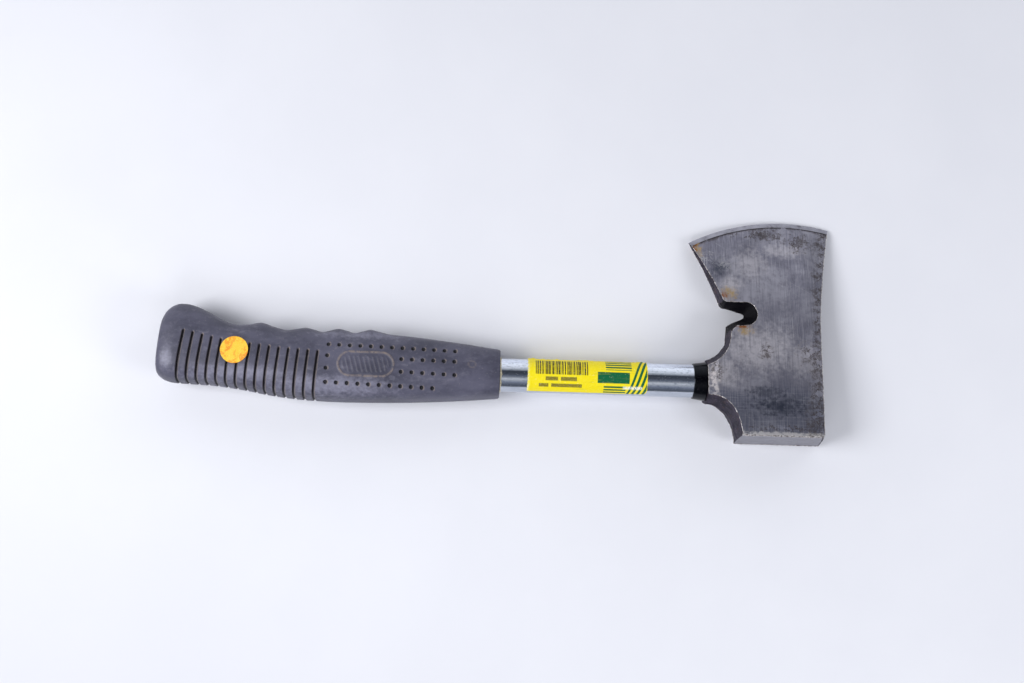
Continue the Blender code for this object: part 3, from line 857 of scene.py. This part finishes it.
def forge_head(spot, normal, level):
    """Forged texture and the parting line's ridge, but none on the ground poll or under the collar.

    Below the parting line the front face goes on leaning out, where the other walls lean back.
    """
    near_front = float(smoothstep(FRONT_FACE - 14, FRONT_FACE - 5, spot.x))
    lean = (FRONT_DRAFT + FRONT_DRAFT_BELOW) * max(0, -level) / HEAD_HALF_THICKNESS
    spot.x += near_front * lean
    if normal.x < -0.9 and abs(spot.y) < 14:
        return spot
    off_poll = 1 - smoothstep(0.80, 0.97, -normal.y)
    keep = float(off_poll * (1 - 0.6 * smoothstep(0.80, 0.97, normal.x)))
    flash = 0.28 * exp(-((level / 0.55) ** 2)) * (0.75 + 0.5 * lumps(spot.x, spot.y, 0, 5))
    coarse = 0.13 * lumps(spot.x, spot.y, level, 5)
    fine = 0.07 * lumps(spot.x, spot.y, level, 1.4)
    rag = 0.22 * smoothstep(9, 13.5, abs(level)) * lumps(spot.x + 40, spot.y, 0, 3)
    return spot + normal * (keep * (flash + coarse + fine + rag))


def forge_notch(spot, normal, level):
    coarse = 0.16 * lumps(spot.x, spot.y + 60, level, 4)
    return spot + normal * (coarse + 0.08 * lumps(spot.x, spot.y, level + 30, 1.2))


def cheek_wedge():
    """The body between the two cheeks: parallel beside the poll, then tapering towards the edge."""
    slope = (HEAD_HALF_THICKNESS - SHOULDER_HALF) / CHEEK_END
    top = HEAD_TOP + 2
    side = [(POLL_FACE - 10, HEAD_HALF_THICKNESS)]
    for step in range(CHEEK_BEND_STEPS + 1):
        y = CHEEK_BEND * (2 * step / CHEEK_BEND_STEPS - 1)
        side.append((y, HEAD_HALF_THICKNESS - slope * (y + CHEEK_BEND) ** 2 / (4 * CHEEK_BEND)))
    side.append((top, HEAD_HALF_THICKNESS - slope * top))
    section = side + [(y, -z) for y, z in reversed(side)]
    points = [(x, y, z) for x in (78, 205) for y, z in section]
    return rough_solid("cutter_cheeks", points, ring_faces(2, len(section), "capped"))


def edge_lens():
    """A flat double cone whose rim is the cutting edge and whose outermost band is the bevel."""
    shoulder = EDGE_RADIUS - BEVEL_WIDTH
    top = SHOULDER_HALF + EDGE_CONE_SLOPE * shoulder
    middle_x, middle_y = EDGE_CENTRE
    points = []
    rims = ((shoulder, SHOULDER_HALF), (EDGE_RADIUS, 0), (shoulder, -SHOULDER_HALF))
    for radius, level in rims:
        for angle in angles(EDGE_STEPS):
            x, y = middle_x + radius * cos(angle), middle_y + radius * sin(angle)
            points.append((x, y, level))
    faces = ring_faces(3, EDGE_STEPS)
    peak = len(points)
    points += [(*EDGE_CENTRE, top), (*EDGE_CENTRE, -top)]
    for i in range(EDGE_STEPS):
        j = (i + 1) % EDGE_STEPS
        faces += [(j, i, peak), (2 * EDGE_STEPS + i, 2 * EDGE_STEPS + j, peak + 1)]
    return rough_solid("cutter_edge", points, faces)


def sort_head_faces(mesh):
    """Gives each face the number of its finish, and returns these numbers."""
    count = len(mesh.polygons)
    normals, middles = np.empty(count * 3), np.empty(count * 3)
    mesh.polygons.foreach_get("normal", normals)
    mesh.polygons.foreach_get("center", middles)
    _, normal_y, normal_z = normals.reshape(-1, 3).T
    x, y, z = middles.reshape(-1, 3).T
    steep = np.abs(normal_z)
    from_edge = EDGE_RADIUS - np.hypot(x - EDGE_CENTRE[0], y - EDGE_CENTRE[1])
    kind = np.full(count, FORGED)
    kind[(steep > 0.98) & (from_edge > BEVEL_WIDTH - 0.05)] = CHEEK
    kind[(steep > 0.78) & (from_edge < BEVEL_WIDTH) & (y > 60)] = BEVEL
    kind[(normal_y < -0.995) & (y < POLL_FACE + 0.2)] = POLL
    left, right, low, high = NOTCH_BOX
    kind[(kind == FORGED) & (x > left) & (x < right) & (y > low) & (y < high)] = NOTCH
    kind[(kind == FORGED) & (np.hypot(y, z) < TUBE_RADIUS + GAP + 0.1)] = EYE
    mesh.polygons.foreach_set("material_index", kind.astype(np.int32))
    return kind


def burr_lines(mesh, kind):
    """Chains of points along the sharp edges between a cheek and a wall or the poll."""
    bm = bmesh.new()
    bm.from_mesh(mesh)
    bm.faces.ensure_lookup_table()
    links = {}
    for edge in bm.edges:
        if len(edge.link_faces) != 2:
            continue
        kinds = {int(kind[face.index]) for face in edge.link_faces}
        if CHEEK in kinds and kinds & {POLL, FORGED, NOTCH}:
            a, b = (tuple(vert.co) for vert in edge.verts)
            links.setdefault(a, []).append(b)
            links.setdefault(b, []).append(a)
    bm.free()
    lines = []
    while any(links.values()):
        open_points = sorted(point for point, near in links.items() if near)
        ends = [point for point in open_points if len(links[point]) == 1]
        line = [(ends or open_points)[0]]
        while links[line[-1]]:
            following = links[line[-1]].pop()
            links[following].remove(line[-1])
            line.append(following)
        lines.append([Vector(point) for point in line])
    return lines


def spaced(line, step):
    """The line again with a point about every step."""
    lengths = [0]
    for a, b in zip(line, line[1:]):
        lengths.append(lengths[-1] + (b - a).length)
    count = max(2, round(lengths[-1] / step))
    points, place = [], 0
    for i in range(count + 1):
        want = lengths[-1] * i / count
        while place < len(line) - 2 and lengths[place + 1] < want:
            place += 1
        span = max(lengths[place + 1] - lengths[place], 1e-9)
        points.append(line[place].lerp(line[place + 1], (want - lengths[place]) / span))
    return points


def burr_radius(x, y, z):
    """Thickest along the poll, thicker than elsewhere beside the neck, thin on the underside."""
    thick = 0.10 + 0.16 * max(0, lumps(x, y, z, 1.6) + 0.35)
    if y < POLL_FACE + 0.5:
        thick += 0.25 + 0.35 * max(0, lumps(x, 9, z, 2.5) + 0.2)
    elif x < 137 and abs(y) < 16:
        thick += 0.05 + 0.22 * max(0, lumps(x, y, 20, 2))
    return thick * 0.5 if z < 0 else thick


def make_burr(lines):
    """A thin ragged bead of rolled-over metal along the cheeks' edges."""
    points, faces = [], []
    for line in lines:
        if sum((b - a).length for a, b in zip(line, line[1:])) < BURR_SHORTEST:
            continue
        line = spaced(line, BURR_STEP)
        faces += ring_faces(len(line), BURR_SIDES, "capped", first=len(points))
        last = len(line) - 1
        for i, spot in enumerate(line):
            along = (line[min(i + 1, last)] - line[max(i - 1, 0)]).normalized()
            side = along.cross(Vector((0, 0, 1))).normalized()
            up = side.cross(along)
            thick = 0.02 if i in (0, last) else burr_radius(*spot)
            spot = spot - Vector((0, 0, copysign(0.5 * thick, spot.z)))
            for angle in angles(BURR_SIDES):
                points.append(spot + (side * cos(angle) + up * sin(angle)) * thick)
    add_piece(mesh_of("head_edge_burr", points, faces), 60, [burr_steel()], "head_steel")


def make_head():
    """The forged outline cut to its cheeks, edge, notch and eye."""
    head = forged_prism("head_body", head_outline, HEAD_HALF_THICKNESS, forge_head)
    notch = forged_prism("cutter_notch", notch_outline, NOTCH_FACE_LEVEL, forge_notch)
    bore, start, end = TUBE_RADIUS + GAP, BOSS_FACE - 8, FRONT_FACE + 9
    eye = turned("cutter_eye", [(start, 0), (start, bore), (end, bore), (end, 0)])
    cuts = [(cheek_wedge(), "INTERSECT"), (edge_lens(), "INTERSECT")]
    cuts += [(notch, "DIFFERENCE"), (placed("cutter_eye", eye), "DIFFERENCE")]
    for cutter, operation in cuts:
        boolean = head.modifiers.new(cutter.name, "BOOLEAN")
        boolean.operation = operation
        boolean.solver = "EXACT"
        boolean.object = cutter
    bpy.context.view_layer.update()
    solid = head.evaluated_get(bpy.context.evaluated_depsgraph_get())
    mesh = bpy.data.meshes.new_from_object(solid)
    mesh.name = "hatchet_head"
    for helper in [head, *(cutter for cutter, _ in cuts)]:
        bpy.data.objects.remove(helper)
    mesh.materials.clear()
    rework(mesh, lambda bm: bmesh.ops.dissolve_degenerate(bm, dist=0.002, edges=bm.edges))
    kind = sort_head_faces(mesh)
    lines = burr_lines(mesh, kind)
    finishes = (ground_steel, bevel_steel, poll_steel, forging_scale, shaded_notch_scale, turned_steel)
    add_piece(mesh, 32, [finish() for finish in finishes], "head_steel", "axe_head")
    make_burr(lines)


# --- Shaft, collar, plugs and adhesive ---
def make_tube():
    inner = TUBE_RADIUS - TUBE_WALL
    start, end = TUBE_START + TUBE_CHAMFER, TUBE_END - TUBE_CHAMFER
    profile = [
        (TUBE_START, inner + TUBE_CHAMFER), (TUBE_START, TUBE_RADIUS - TUBE_CHAMFER),
        (start, TUBE_RADIUS), (-1, TUBE_RADIUS), (BOSS_FACE, TUBE_RADIUS), (end, TUBE_RADIUS),
        (TUBE_END, TUBE_RADIUS - TUBE_CHAMFER), (TUBE_END, inner + TUBE_CHAMFER),
        (end, inner), (start, inner),
    ]
    mesh = turned("chromed_tube", profile)
    add_piece(mesh, 30, [chrome()], "shaft_chrome", "shaft_tube")


def make_collar():
    """A tapered collar with soft rims, pushed a little unevenly against the boss."""
    bore = TUBE_RADIUS + 0.05
    end = BOSS_FACE - 0.15
    small, large = COLLAR_RADII
    rim = COLLAR_RIM
    quarter = [pi / 2 * step / 6 for step in range(7)]
    profile = [(COLLAR_START + 0.2, bore), (COLLAR_START, bore + 0.2), (COLLAR_START, small - rim)]
    for angle in quarter[1:]:
        x = COLLAR_START + rim * (1 - cos(angle))
        profile.append((x, small - rim * (1 - sin(angle))))
    for angle in quarter:
        profile.append((end - rim * (1 - sin(angle)), large - rim * (1 - cos(angle))))
    profile.append((end, bore))

    def uneven(x, radius, angle):
        push = lumps(x, 10 * cos(angle), 10 * sin(angle), 9)
        more_x = 0.18 * push if x < COLLAR_START + 1 else 0
        return x + more_x, radius + (0.06 * push if radius > bore + 0.1 else 0)

    mesh = turned("head_end_collar", profile, shape=uneven)
    add_piece(mesh, 50, [gloss_plastic()], "collar_plastic", "head_collar")


def make_plugs():
    """The turned plug in the eye, with a centre hole, and a material for the hidden end plug."""
    radius = TUBE_RADIUS - TUBE_WALL - PLUG_GAP
    start = TUBE_END - PLUG_LENGTH
    face = TUBE_END - 0.2
    profile = [
        (start, 0), (start, radius - 0.5), (face - 0.4, radius), (face, radius - 0.4),
        (face, 2.2), (face - 0.9, 1.3), (face - 0.9, 0),
    ]
    mesh = turned("eye_plug_turned", profile)
    add_piece(mesh, 30, [turned_steel()], "plug_steel", "eye_plug")
    hidden = frame["nodes"]["tube_end_plug"]
    hidden.data.materials.clear()
    hidden.data.materials.append(moulded_plastic())


def make_adhesive():
    """A ragged bead of adhesive squeezed out at the grip's mouth, from (x, lift) points."""

    def ragged(x, lift, angle):
        uneven = lumps(4 * cos(angle), 4 * sin(angle), 2, 1.1, 4)
        high = max(0.25, 0.85 + 0.55 * uneven)
        return 0.02 + max(x, 0) * (0.8 + 0.5 * uneven), TUBE_RADIUS + 0.03 + lift * high

    profile = [(-0.1, 0), (-0.1, 1), (0.35, 1), (0.75, 0.55), (1, 0)]
    mesh = turned("adhesive_bead", profile, ADHESIVE_SIDES, ragged)
    add_piece(mesh, 60, [cured_adhesive()], "adhesive", "grip_mouth_adhesive")


# --- Grip ---
def lean_at(x):
    """The tangent of a grip section's lean from square to the shaft."""
    return tan(radians(np.interp(x, *zip(*LEANS))))


def leaning_height(table, x, lean):
    """Where a leaning section that starts at x on the axis meets the outline."""
    height = smooth_value(table, x)
    for _ in range(6):
        height = smooth_value(table, x + height * lean)
    return height


def even_squircle():
    """Points evenly spaced round a rounded rectangle of half width 1: columns (across, up)."""
    angle = np.linspace(0, 2 * pi, 20001)
    power = 2 / GRIP_SQUARENESS
    across = np.sign(np.cos(angle)) * np.abs(np.cos(angle)) ** power
    up = np.sign(np.sin(angle)) * np.abs(np.sin(angle)) ** power
    steps = np.hypot(np.diff(across), GRIP_ASPECT * np.diff(up))
    walked = np.concatenate([[0], np.cumsum(steps)])
    wanted = np.linspace(0, walked[-1], GRIP_SIDES + 1)[:-1]
    return np.interp(wanted, walked, across), np.interp(wanted, walked, up)


def slot_centres():
    pitch = (SLOT_LAST - SLOT_FIRST) / (SLOT_COUNT - 1)
    return [SLOT_FIRST + pitch * slot for slot in range(SLOT_COUNT)]


def grip_stations():
    """Places along the shaft where the grip has a section: close together beside slot walls."""
    stations = list(GRIP_END + 10.3 * (np.linspace(0, 1, 26) ** 2))
    near = (0.5, 0.7, 0.85, 1, 1.2, 1.6, 2.2)
    offsets = (-SLOT_HALF_PITCH, *(-offset for offset in near), 0, *near)
    stations += [centre + offset for centre in slot_centres() for offset in offsets]
    stations += list(np.arange(SLOT_LAST + SLOT_HALF_PITCH, -24, 0.4))
    stations += list(np.linspace(-24, -3, 22))
    stations += list(-3 * (1 - np.linspace(0, 1, 12)[1:] ** 0.7))
    return sorted(set(round(float(x), 4) for x in stations if x <= 0))


def dimples():
    for first, last, count, y, drop in DIMPLE_ROWS:
        for part, x in zip(np.linspace(0, 1, count), np.linspace(first, last, count)):
            yield x, y - drop * part


def slot_relief(y, station, across):
    """Depth, painted shadow and dust of the slots in one section of the grip."""
    depth, painted_shadow, dust = np.zeros_like(y), np.zeros_like(y), np.zeros_like(y)
    past_palm = smoothstep(-0.97, -0.80, across)
    full = SLOT_DEPTH_AT_PALM + (SLOT_DEPTH - SLOT_DEPTH_AT_PALM) * past_palm
    for centre in slot_centres():
        offset = station - centre
        if abs(offset) > 2.9:
            continue
        above = np.maximum(0, y - (smooth_value(SLOT_TOPS, centre) - SLOT_WIDTH / 2))
        away = np.hypot(offset, above)
        inside = smoothstep(SLOT_WIDTH / 2 + 0.20, SLOT_WIDTH / 2 - 0.18, away)
        depth = np.maximum(depth, inside * full)
        # Painted shadow in the slot's -X half, the side its wall shades
        painted_shadow = np.maximum(painted_shadow, inside * smoothstep(0.45, 0, offset))
        # Dust on the rim, strongest towards +X, where it also stands in for the lit wall
        rim = smoothstep(0.36, 0.58, away) * smoothstep(1.10, 0.85, away)
        dust = np.maximum(dust, rim * (1 if offset > 0 else 0.2))
    return depth, painted_shadow, dust


def grip_relief(x, y, station, across):
    """How far the skin is lowered, the painted shadow in those hollows and their dust, in one
    section.
    """
    depth, painted_shadow, dust = slot_relief(y, station, across)
    for dimple_x, dimple_y in dimples():
        off_x = x - dimple_x
        if not (np.abs(off_x) < 2).any():
            continue
        away = np.hypot(off_x, y - dimple_y)
        inside = np.clip(1 - away / DIMPLE_RADIUS, 0, 1)
        depth = np.maximum(depth, DIMPLE_DEPTH * smoothstep(0, 0.75, inside))
        # Painted shadow on the dimple's -X side
        shade = smoothstep(0.08, 0.34, inside) * smoothstep(0.95, 0.55, off_x / DIMPLE_RADIUS)
        painted_shadow = np.maximum(painted_shadow, shade)
        # Dust on the dimple's rim towards +X, partly painted light on its lit side
        toward = smoothstep(0.1, 0.8, off_x / np.maximum(away, 1e-6))
        rim = toward * smoothstep(0.75, 1, away) * smoothstep(1.75, 1.4, away)
        dust = np.maximum(dust, rim)

    # The oval's raised line, its lowered plate and the plate's slanted ribs
    off_x, off_y = x - OVAL_CENTRE[0], y - OVAL_CENTRE[1]
    half_x, half_y = OVAL_HALF
    from_core = np.hypot(np.maximum(np.abs(off_x) - (half_x - half_y), 0), off_y)
    ridge = smoothstep(OVAL_LINE + 0.25, OVAL_LINE - 0.25, np.abs(from_core - half_y))
    depth -= OVAL_HEIGHT * ridge
    depth = np.where(from_core < half_y - 0.7, depth + OVAL_SINK, depth)
    slanted = (off_x + RIB_SLANT * off_y) / RIB_PITCH
    off_rib = np.abs(slanted - np.round(slanted)) * RIB_PITCH
    rib = smoothstep(0.62, 0.34, off_rib) * smoothstep(half_y - 1.9, half_y - 2.5, from_core)
    depth -= RIB_HEIGHT * rib
    dust = np.maximum(dust, 0.3 * rib * smoothstep(0.2, 0.5, off_rib))
    if ridge.any():
        spots = [Vector((float(a) * 0.5, float(b) * 0.5, 0)) for a, b in zip(x, y)]
        rub = np.array([0.5 + 0.5 * noise.noise(spot) for spot in spots])
        dust = np.maximum(dust, ridge * np.clip(1.5 * rub, 0.35, 1))

    from_mark = np.hypot(x - MARK_CENTRE[0], y - MARK_CENTRE[1]) - MARK_RADIUS
    mark = np.exp(-((from_mark / 0.35) ** 2))
    return depth + MARK_DEPTH * mark, painted_shadow, np.maximum(dust, 0.45 * mark)


def make_grip():
    """A skin of sections along the shaft, closed by a domed end and by the bore for the tube."""
    across, up = even_squircle()
    rings, marks = [], []
    for station in grip_stations():
        lean = lean_at(station)
        high = leaning_height(FINGER_SIDE, station, lean)
        low = leaning_height(PALM_SIDE, station, lean)
        thick = smooth_value(GRIP_HALF_THICKNESS, station)
        y = (high + low) / 2 + (high - low) / 2 * across
        x = station + y * lean
        depth, painted_shadow, dust = grip_relief(x, y, station, across)
        depth = depth - SEAM_HEIGHT * np.exp(-((thick * up / 0.35) ** 2)) * (station > -190)
        rings.append(np.stack([x, y - depth * across, (thick - depth) * up], 1))
        marks.append((painted_shadow, dust))

    first = rings[0]
    centre = first.mean(0)
    caps = []
    for part in (0.05, 0.3, 0.6, 0.85):
        ring = centre + (first - centre) * part
        ring[:, 0] = centre[0] + (first[:, 0] - centre[0]) * part - 0.12 * (1 - part)
        caps.append(ring)
    turn = np.arctan2(up * GRIP_ASPECT, across)
    bore = TUBE_RADIUS + 0.08

    def bore_ring(x):
        return np.stack([np.full(GRIP_SIDES, x), bore * np.cos(turn), bore * np.sin(turn)], 1)

    mouth, lip = rings[-1], ((0.25, 0.03), (0.6, 0.05), (1, 0))
    inside = [mouth + (bore_ring(x) - mouth) * part for part, x in lip]
    inside += [bore_ring(x) for x in (-4, -40, -100, TUBE_START - 1.6)]
    plain = np.zeros((2, GRIP_SIDES))
    marks = [plain] * len(caps) + marks + [plain] * len(inside)
    rings = caps + rings + inside
    faces = ring_faces(len(rings), GRIP_SIDES, "capped")
    mesh = mesh_of("rubber_grip", np.concatenate(rings), faces)
    for name, values in zip(("painted_shadow", "dust"), np.concatenate(marks, 1)):
        add_attribute(mesh, name, values)
    add_piece(mesh, 70, [grip_rubber()], "grip_rubber", "grip_sleeve")


# --- Sticker and label ---
def sheet_mesh(name, points, faces, border):
    """A thin sheet, closed round its border: the points of both its sides, the faces of one."""
    layer = len(points) // 2
    faces = faces + [tuple(layer + index for index in reversed(face)) for face in faces]
    faces += [(a, layer + a, layer + b, b) for a, b in zip(border, border[1:] + border[:1])]
    return mesh_of(name, points, faces)


def grip_face_height(x, y):
    """Height of the grip's broad face above the blade's plane, between the slots."""
    high, low = smooth_value(FINGER_SIDE, x), smooth_value(PALM_SIDE, x)
    across = abs(y - (high + low) / 2) / ((high - low) / 2)
    roundness = (1 - across**GRIP_SQUARENESS) ** (1 / GRIP_SQUARENESS)
    return smooth_value(GRIP_HALF_THICKNESS, x) * roundness


def make_sticker():
    """A round of paper that follows the grip's face and sinks a little over the slots."""
    rings, sides = STICKER_RINGS, STICKER_SIDES
    points = []
    for lift in (0.05, 0.05 + PAPER):
        for part in [ring / rings for ring in range(1, rings + 1)]:
            for angle in angles(sides):
                x = STICKER_CENTRE[0] + STICKER_RADIUS * part * cos(angle)
                y = STICKER_CENTRE[1] + STICKER_RADIUS * part * sin(angle)
                station = x - y * lean_at(x)
                over = [exp(-(((station - centre) / 0.9) ** 2)) for centre in slot_centres()]
                sag = 0.10 * max(over) + 0.05 * lumps(x, y, 0, 2.5)
                points.append((x, y, grip_face_height(x, y) + lift - sag + 0.12 * part**6))
    faces = ring_faces(rings, sides) + [tuple(range(sides))]
    border = list(range((rings - 1) * sides, rings * sides))
    mesh = sheet_mesh("round_sticker", points, faces, border)
    add_piece(mesh, 60, [sticker_paper()], "sticker_paper", "price_sticker")


def label_place(part, turn):
    """A label point's x and height above the tube: part of its length along, degrees round."""
    ragged = 0.25 * lumps(turn / 9, 3, part, 1)
    skew = -0.4 * (turn + 90) / 160
    corner = 1.6 * max(0, (turn - 55) / 19) ** 2 * (part > 0.5)
    x = LABEL_START + skew * (1 - part) + (LABEL_LENGTH - corner * part) * part
    x = x + ragged * (1 - part) ** 6 + ragged * part**6
    wave = 0.10 * lumps(x, turn / 6, 0, 7)
    folds = lumps(x, 0, 5, 9) + 0.6 * lumps(x, turn / 9, 9, 3)
    folds = folds + 0.5 * lumps(x, 4, 2, 1.6)
    crease = 0.55 * exp(-(((turn + 84) / 20) ** 2)) * max(0, folds + 0.3)
    return x, max(0, wave), crease


def make_label():
    """The printed film round the tube: a thin sheet with a lifted top edge and uneven ends."""
    columns, rows = LABEL_CELLS
    points, flat = [], []
    for lift in (0.04, 0.04 + PAPER):
        for row in range(rows + 1):
            turn = LABEL_EDGES[0] + (LABEL_EDGES[1] - LABEL_EDGES[0]) * row / rows
            angle = radians(turn)
            for column in range(columns + 1):
                x, wave, crease = label_place(column / columns, turn)
                radius = TUBE_RADIUS + lift + wave + crease
                points.append((x, -radius * sin(angle), radius * cos(angle)))
                flat.append((x - LABEL_START, TUBE_RADIUS * angle, 0))
    wide = columns + 1
    last = rows * wide
    corners = [row * wide + column for row in range(rows) for column in range(columns)]
    faces = [(a, a + 1, a + wide + 1, a + wide) for a in corners]
    border = [*range(columns), *range(columns, last, wide)]
    border += [*range(last + columns, last, -1), *range(last, 0, -wide)]
    mesh = sheet_mesh("printed_label", points, faces, border)
    add_attribute(mesh, "flat", np.array(flat))
    add_piece(mesh, 60, [label_paper()], "label_paper", "wrap_label")


# --- Floor, light and camera ---
def make_floor():
    low, high = -FLOOR_HALF, FLOOR_HALF
    corners = [(x, y, FLOOR_LEVEL) for x, y in ((low, low), (high, low), (high, high), (low, high))]
    mesh = mesh_of("floor", corners, [(0, 1, 2, 3)])
    mesh.materials.append(floor_sheet())
    floor = placed("floor", mesh)


def make_world():
    """Bright walls round a darker ceiling, which the metal mirrors, and a plain pale backdrop."""
    world = bpy.data.worlds.new("studio")
    bpy.context.scene.world = world
    world.use_nodes = True
    sky = Nodes(world.node_tree)
    _, y, z = sky.split(sky.fed(sky.new("TexCoord"), out="Generated"))
    turn = sky.calc("ARCTAN2", y, z)
    limits = {"Value": turn, "From Min": -pi, "From Max": pi}
    ramp = sky.new("ValToRGB")
    elements = ramp.color_ramp.elements
    for degrees, level in SKY_LEVELS:
        tint = (0.90, 0.99, 1.22) if level < SKY_DIM else (0.96, 0.985, 1.04)
        if abs(degrees) == 180:
            element = elements[0 if degrees < 0 else -1]
        else:
            element = elements.new((degrees + 180) / 360)
        element.color = (*(level * part for part in tint), 1)
    light = sky.fed(ramp, (sky.fed(sky.new("MapRange"), limits),))
    seen = sky.fed(sky.new("LightPath"), out="Is Camera Ray")
    backdrop = sky.mix(seen, light, (0.84, 0.85, 0.90))
    sky.feed(sky.tree.nodes["Background"].inputs["Color"], backdrop)


def softbox(name, place, side, power, seen=False):
    """A square lamp that faces the middle of the part."""
    light = bpy.data.lights.new(name, "AREA")
    light.shape = "RECTANGLE"
    light.size = light.size_y = side
    light.energy = power
    light.color = (0.97, 0.98, 1)
    obj = placed(name, light)
    obj.location = place
    obj.rotation_mode = "QUATERNION"
    obj.rotation_quaternion = (-Vector(place)).to_track_quat("-Z", "Y")
    obj.visible_glossy = seen


def make_camera():
    """50 mm lens, nearly overhead, from the palm side."""
    camera = bpy.data.cameras.new("camera")
    camera.lens = 50
    camera.sensor_width = 36
    camera.clip_start = 0.01
    right = Vector((0.998568, 0.021589, 0.048938))
    up = Vector((-0.033252, 0.967200, 0.251829))
    turn = Matrix((right, up, right.cross(up))).transposed()
    place = Vector((-27.50, -186.67, 789.19)) * MM
    obj = placed("camera", camera)
    obj.matrix_world = OWN @ Matrix.Translation(place) @ turn.to_4x4()
    bpy.context.scene.camera = obj


make_camera()
make_head()
make_tube()
make_collar()
make_plugs()
make_grip()
make_sticker()
make_adhesive()
make_label()
make_floor()
make_world()
softbox("left_box", (-0.84, -0.14, 0.97), 0.6, 11.8, seen=True)
softbox("front_box", (-0.15, -0.95, 0.75), 0.6, 3)
softbox("right_back_box", (0.90, 0.68, 0.65), 0.5, 1.4)
softbox("right_front_box", (0.95, -0.50, 0.65), 0.5, 4.6)
bpy.context.scene.view_settings.view_transform = "Standard"
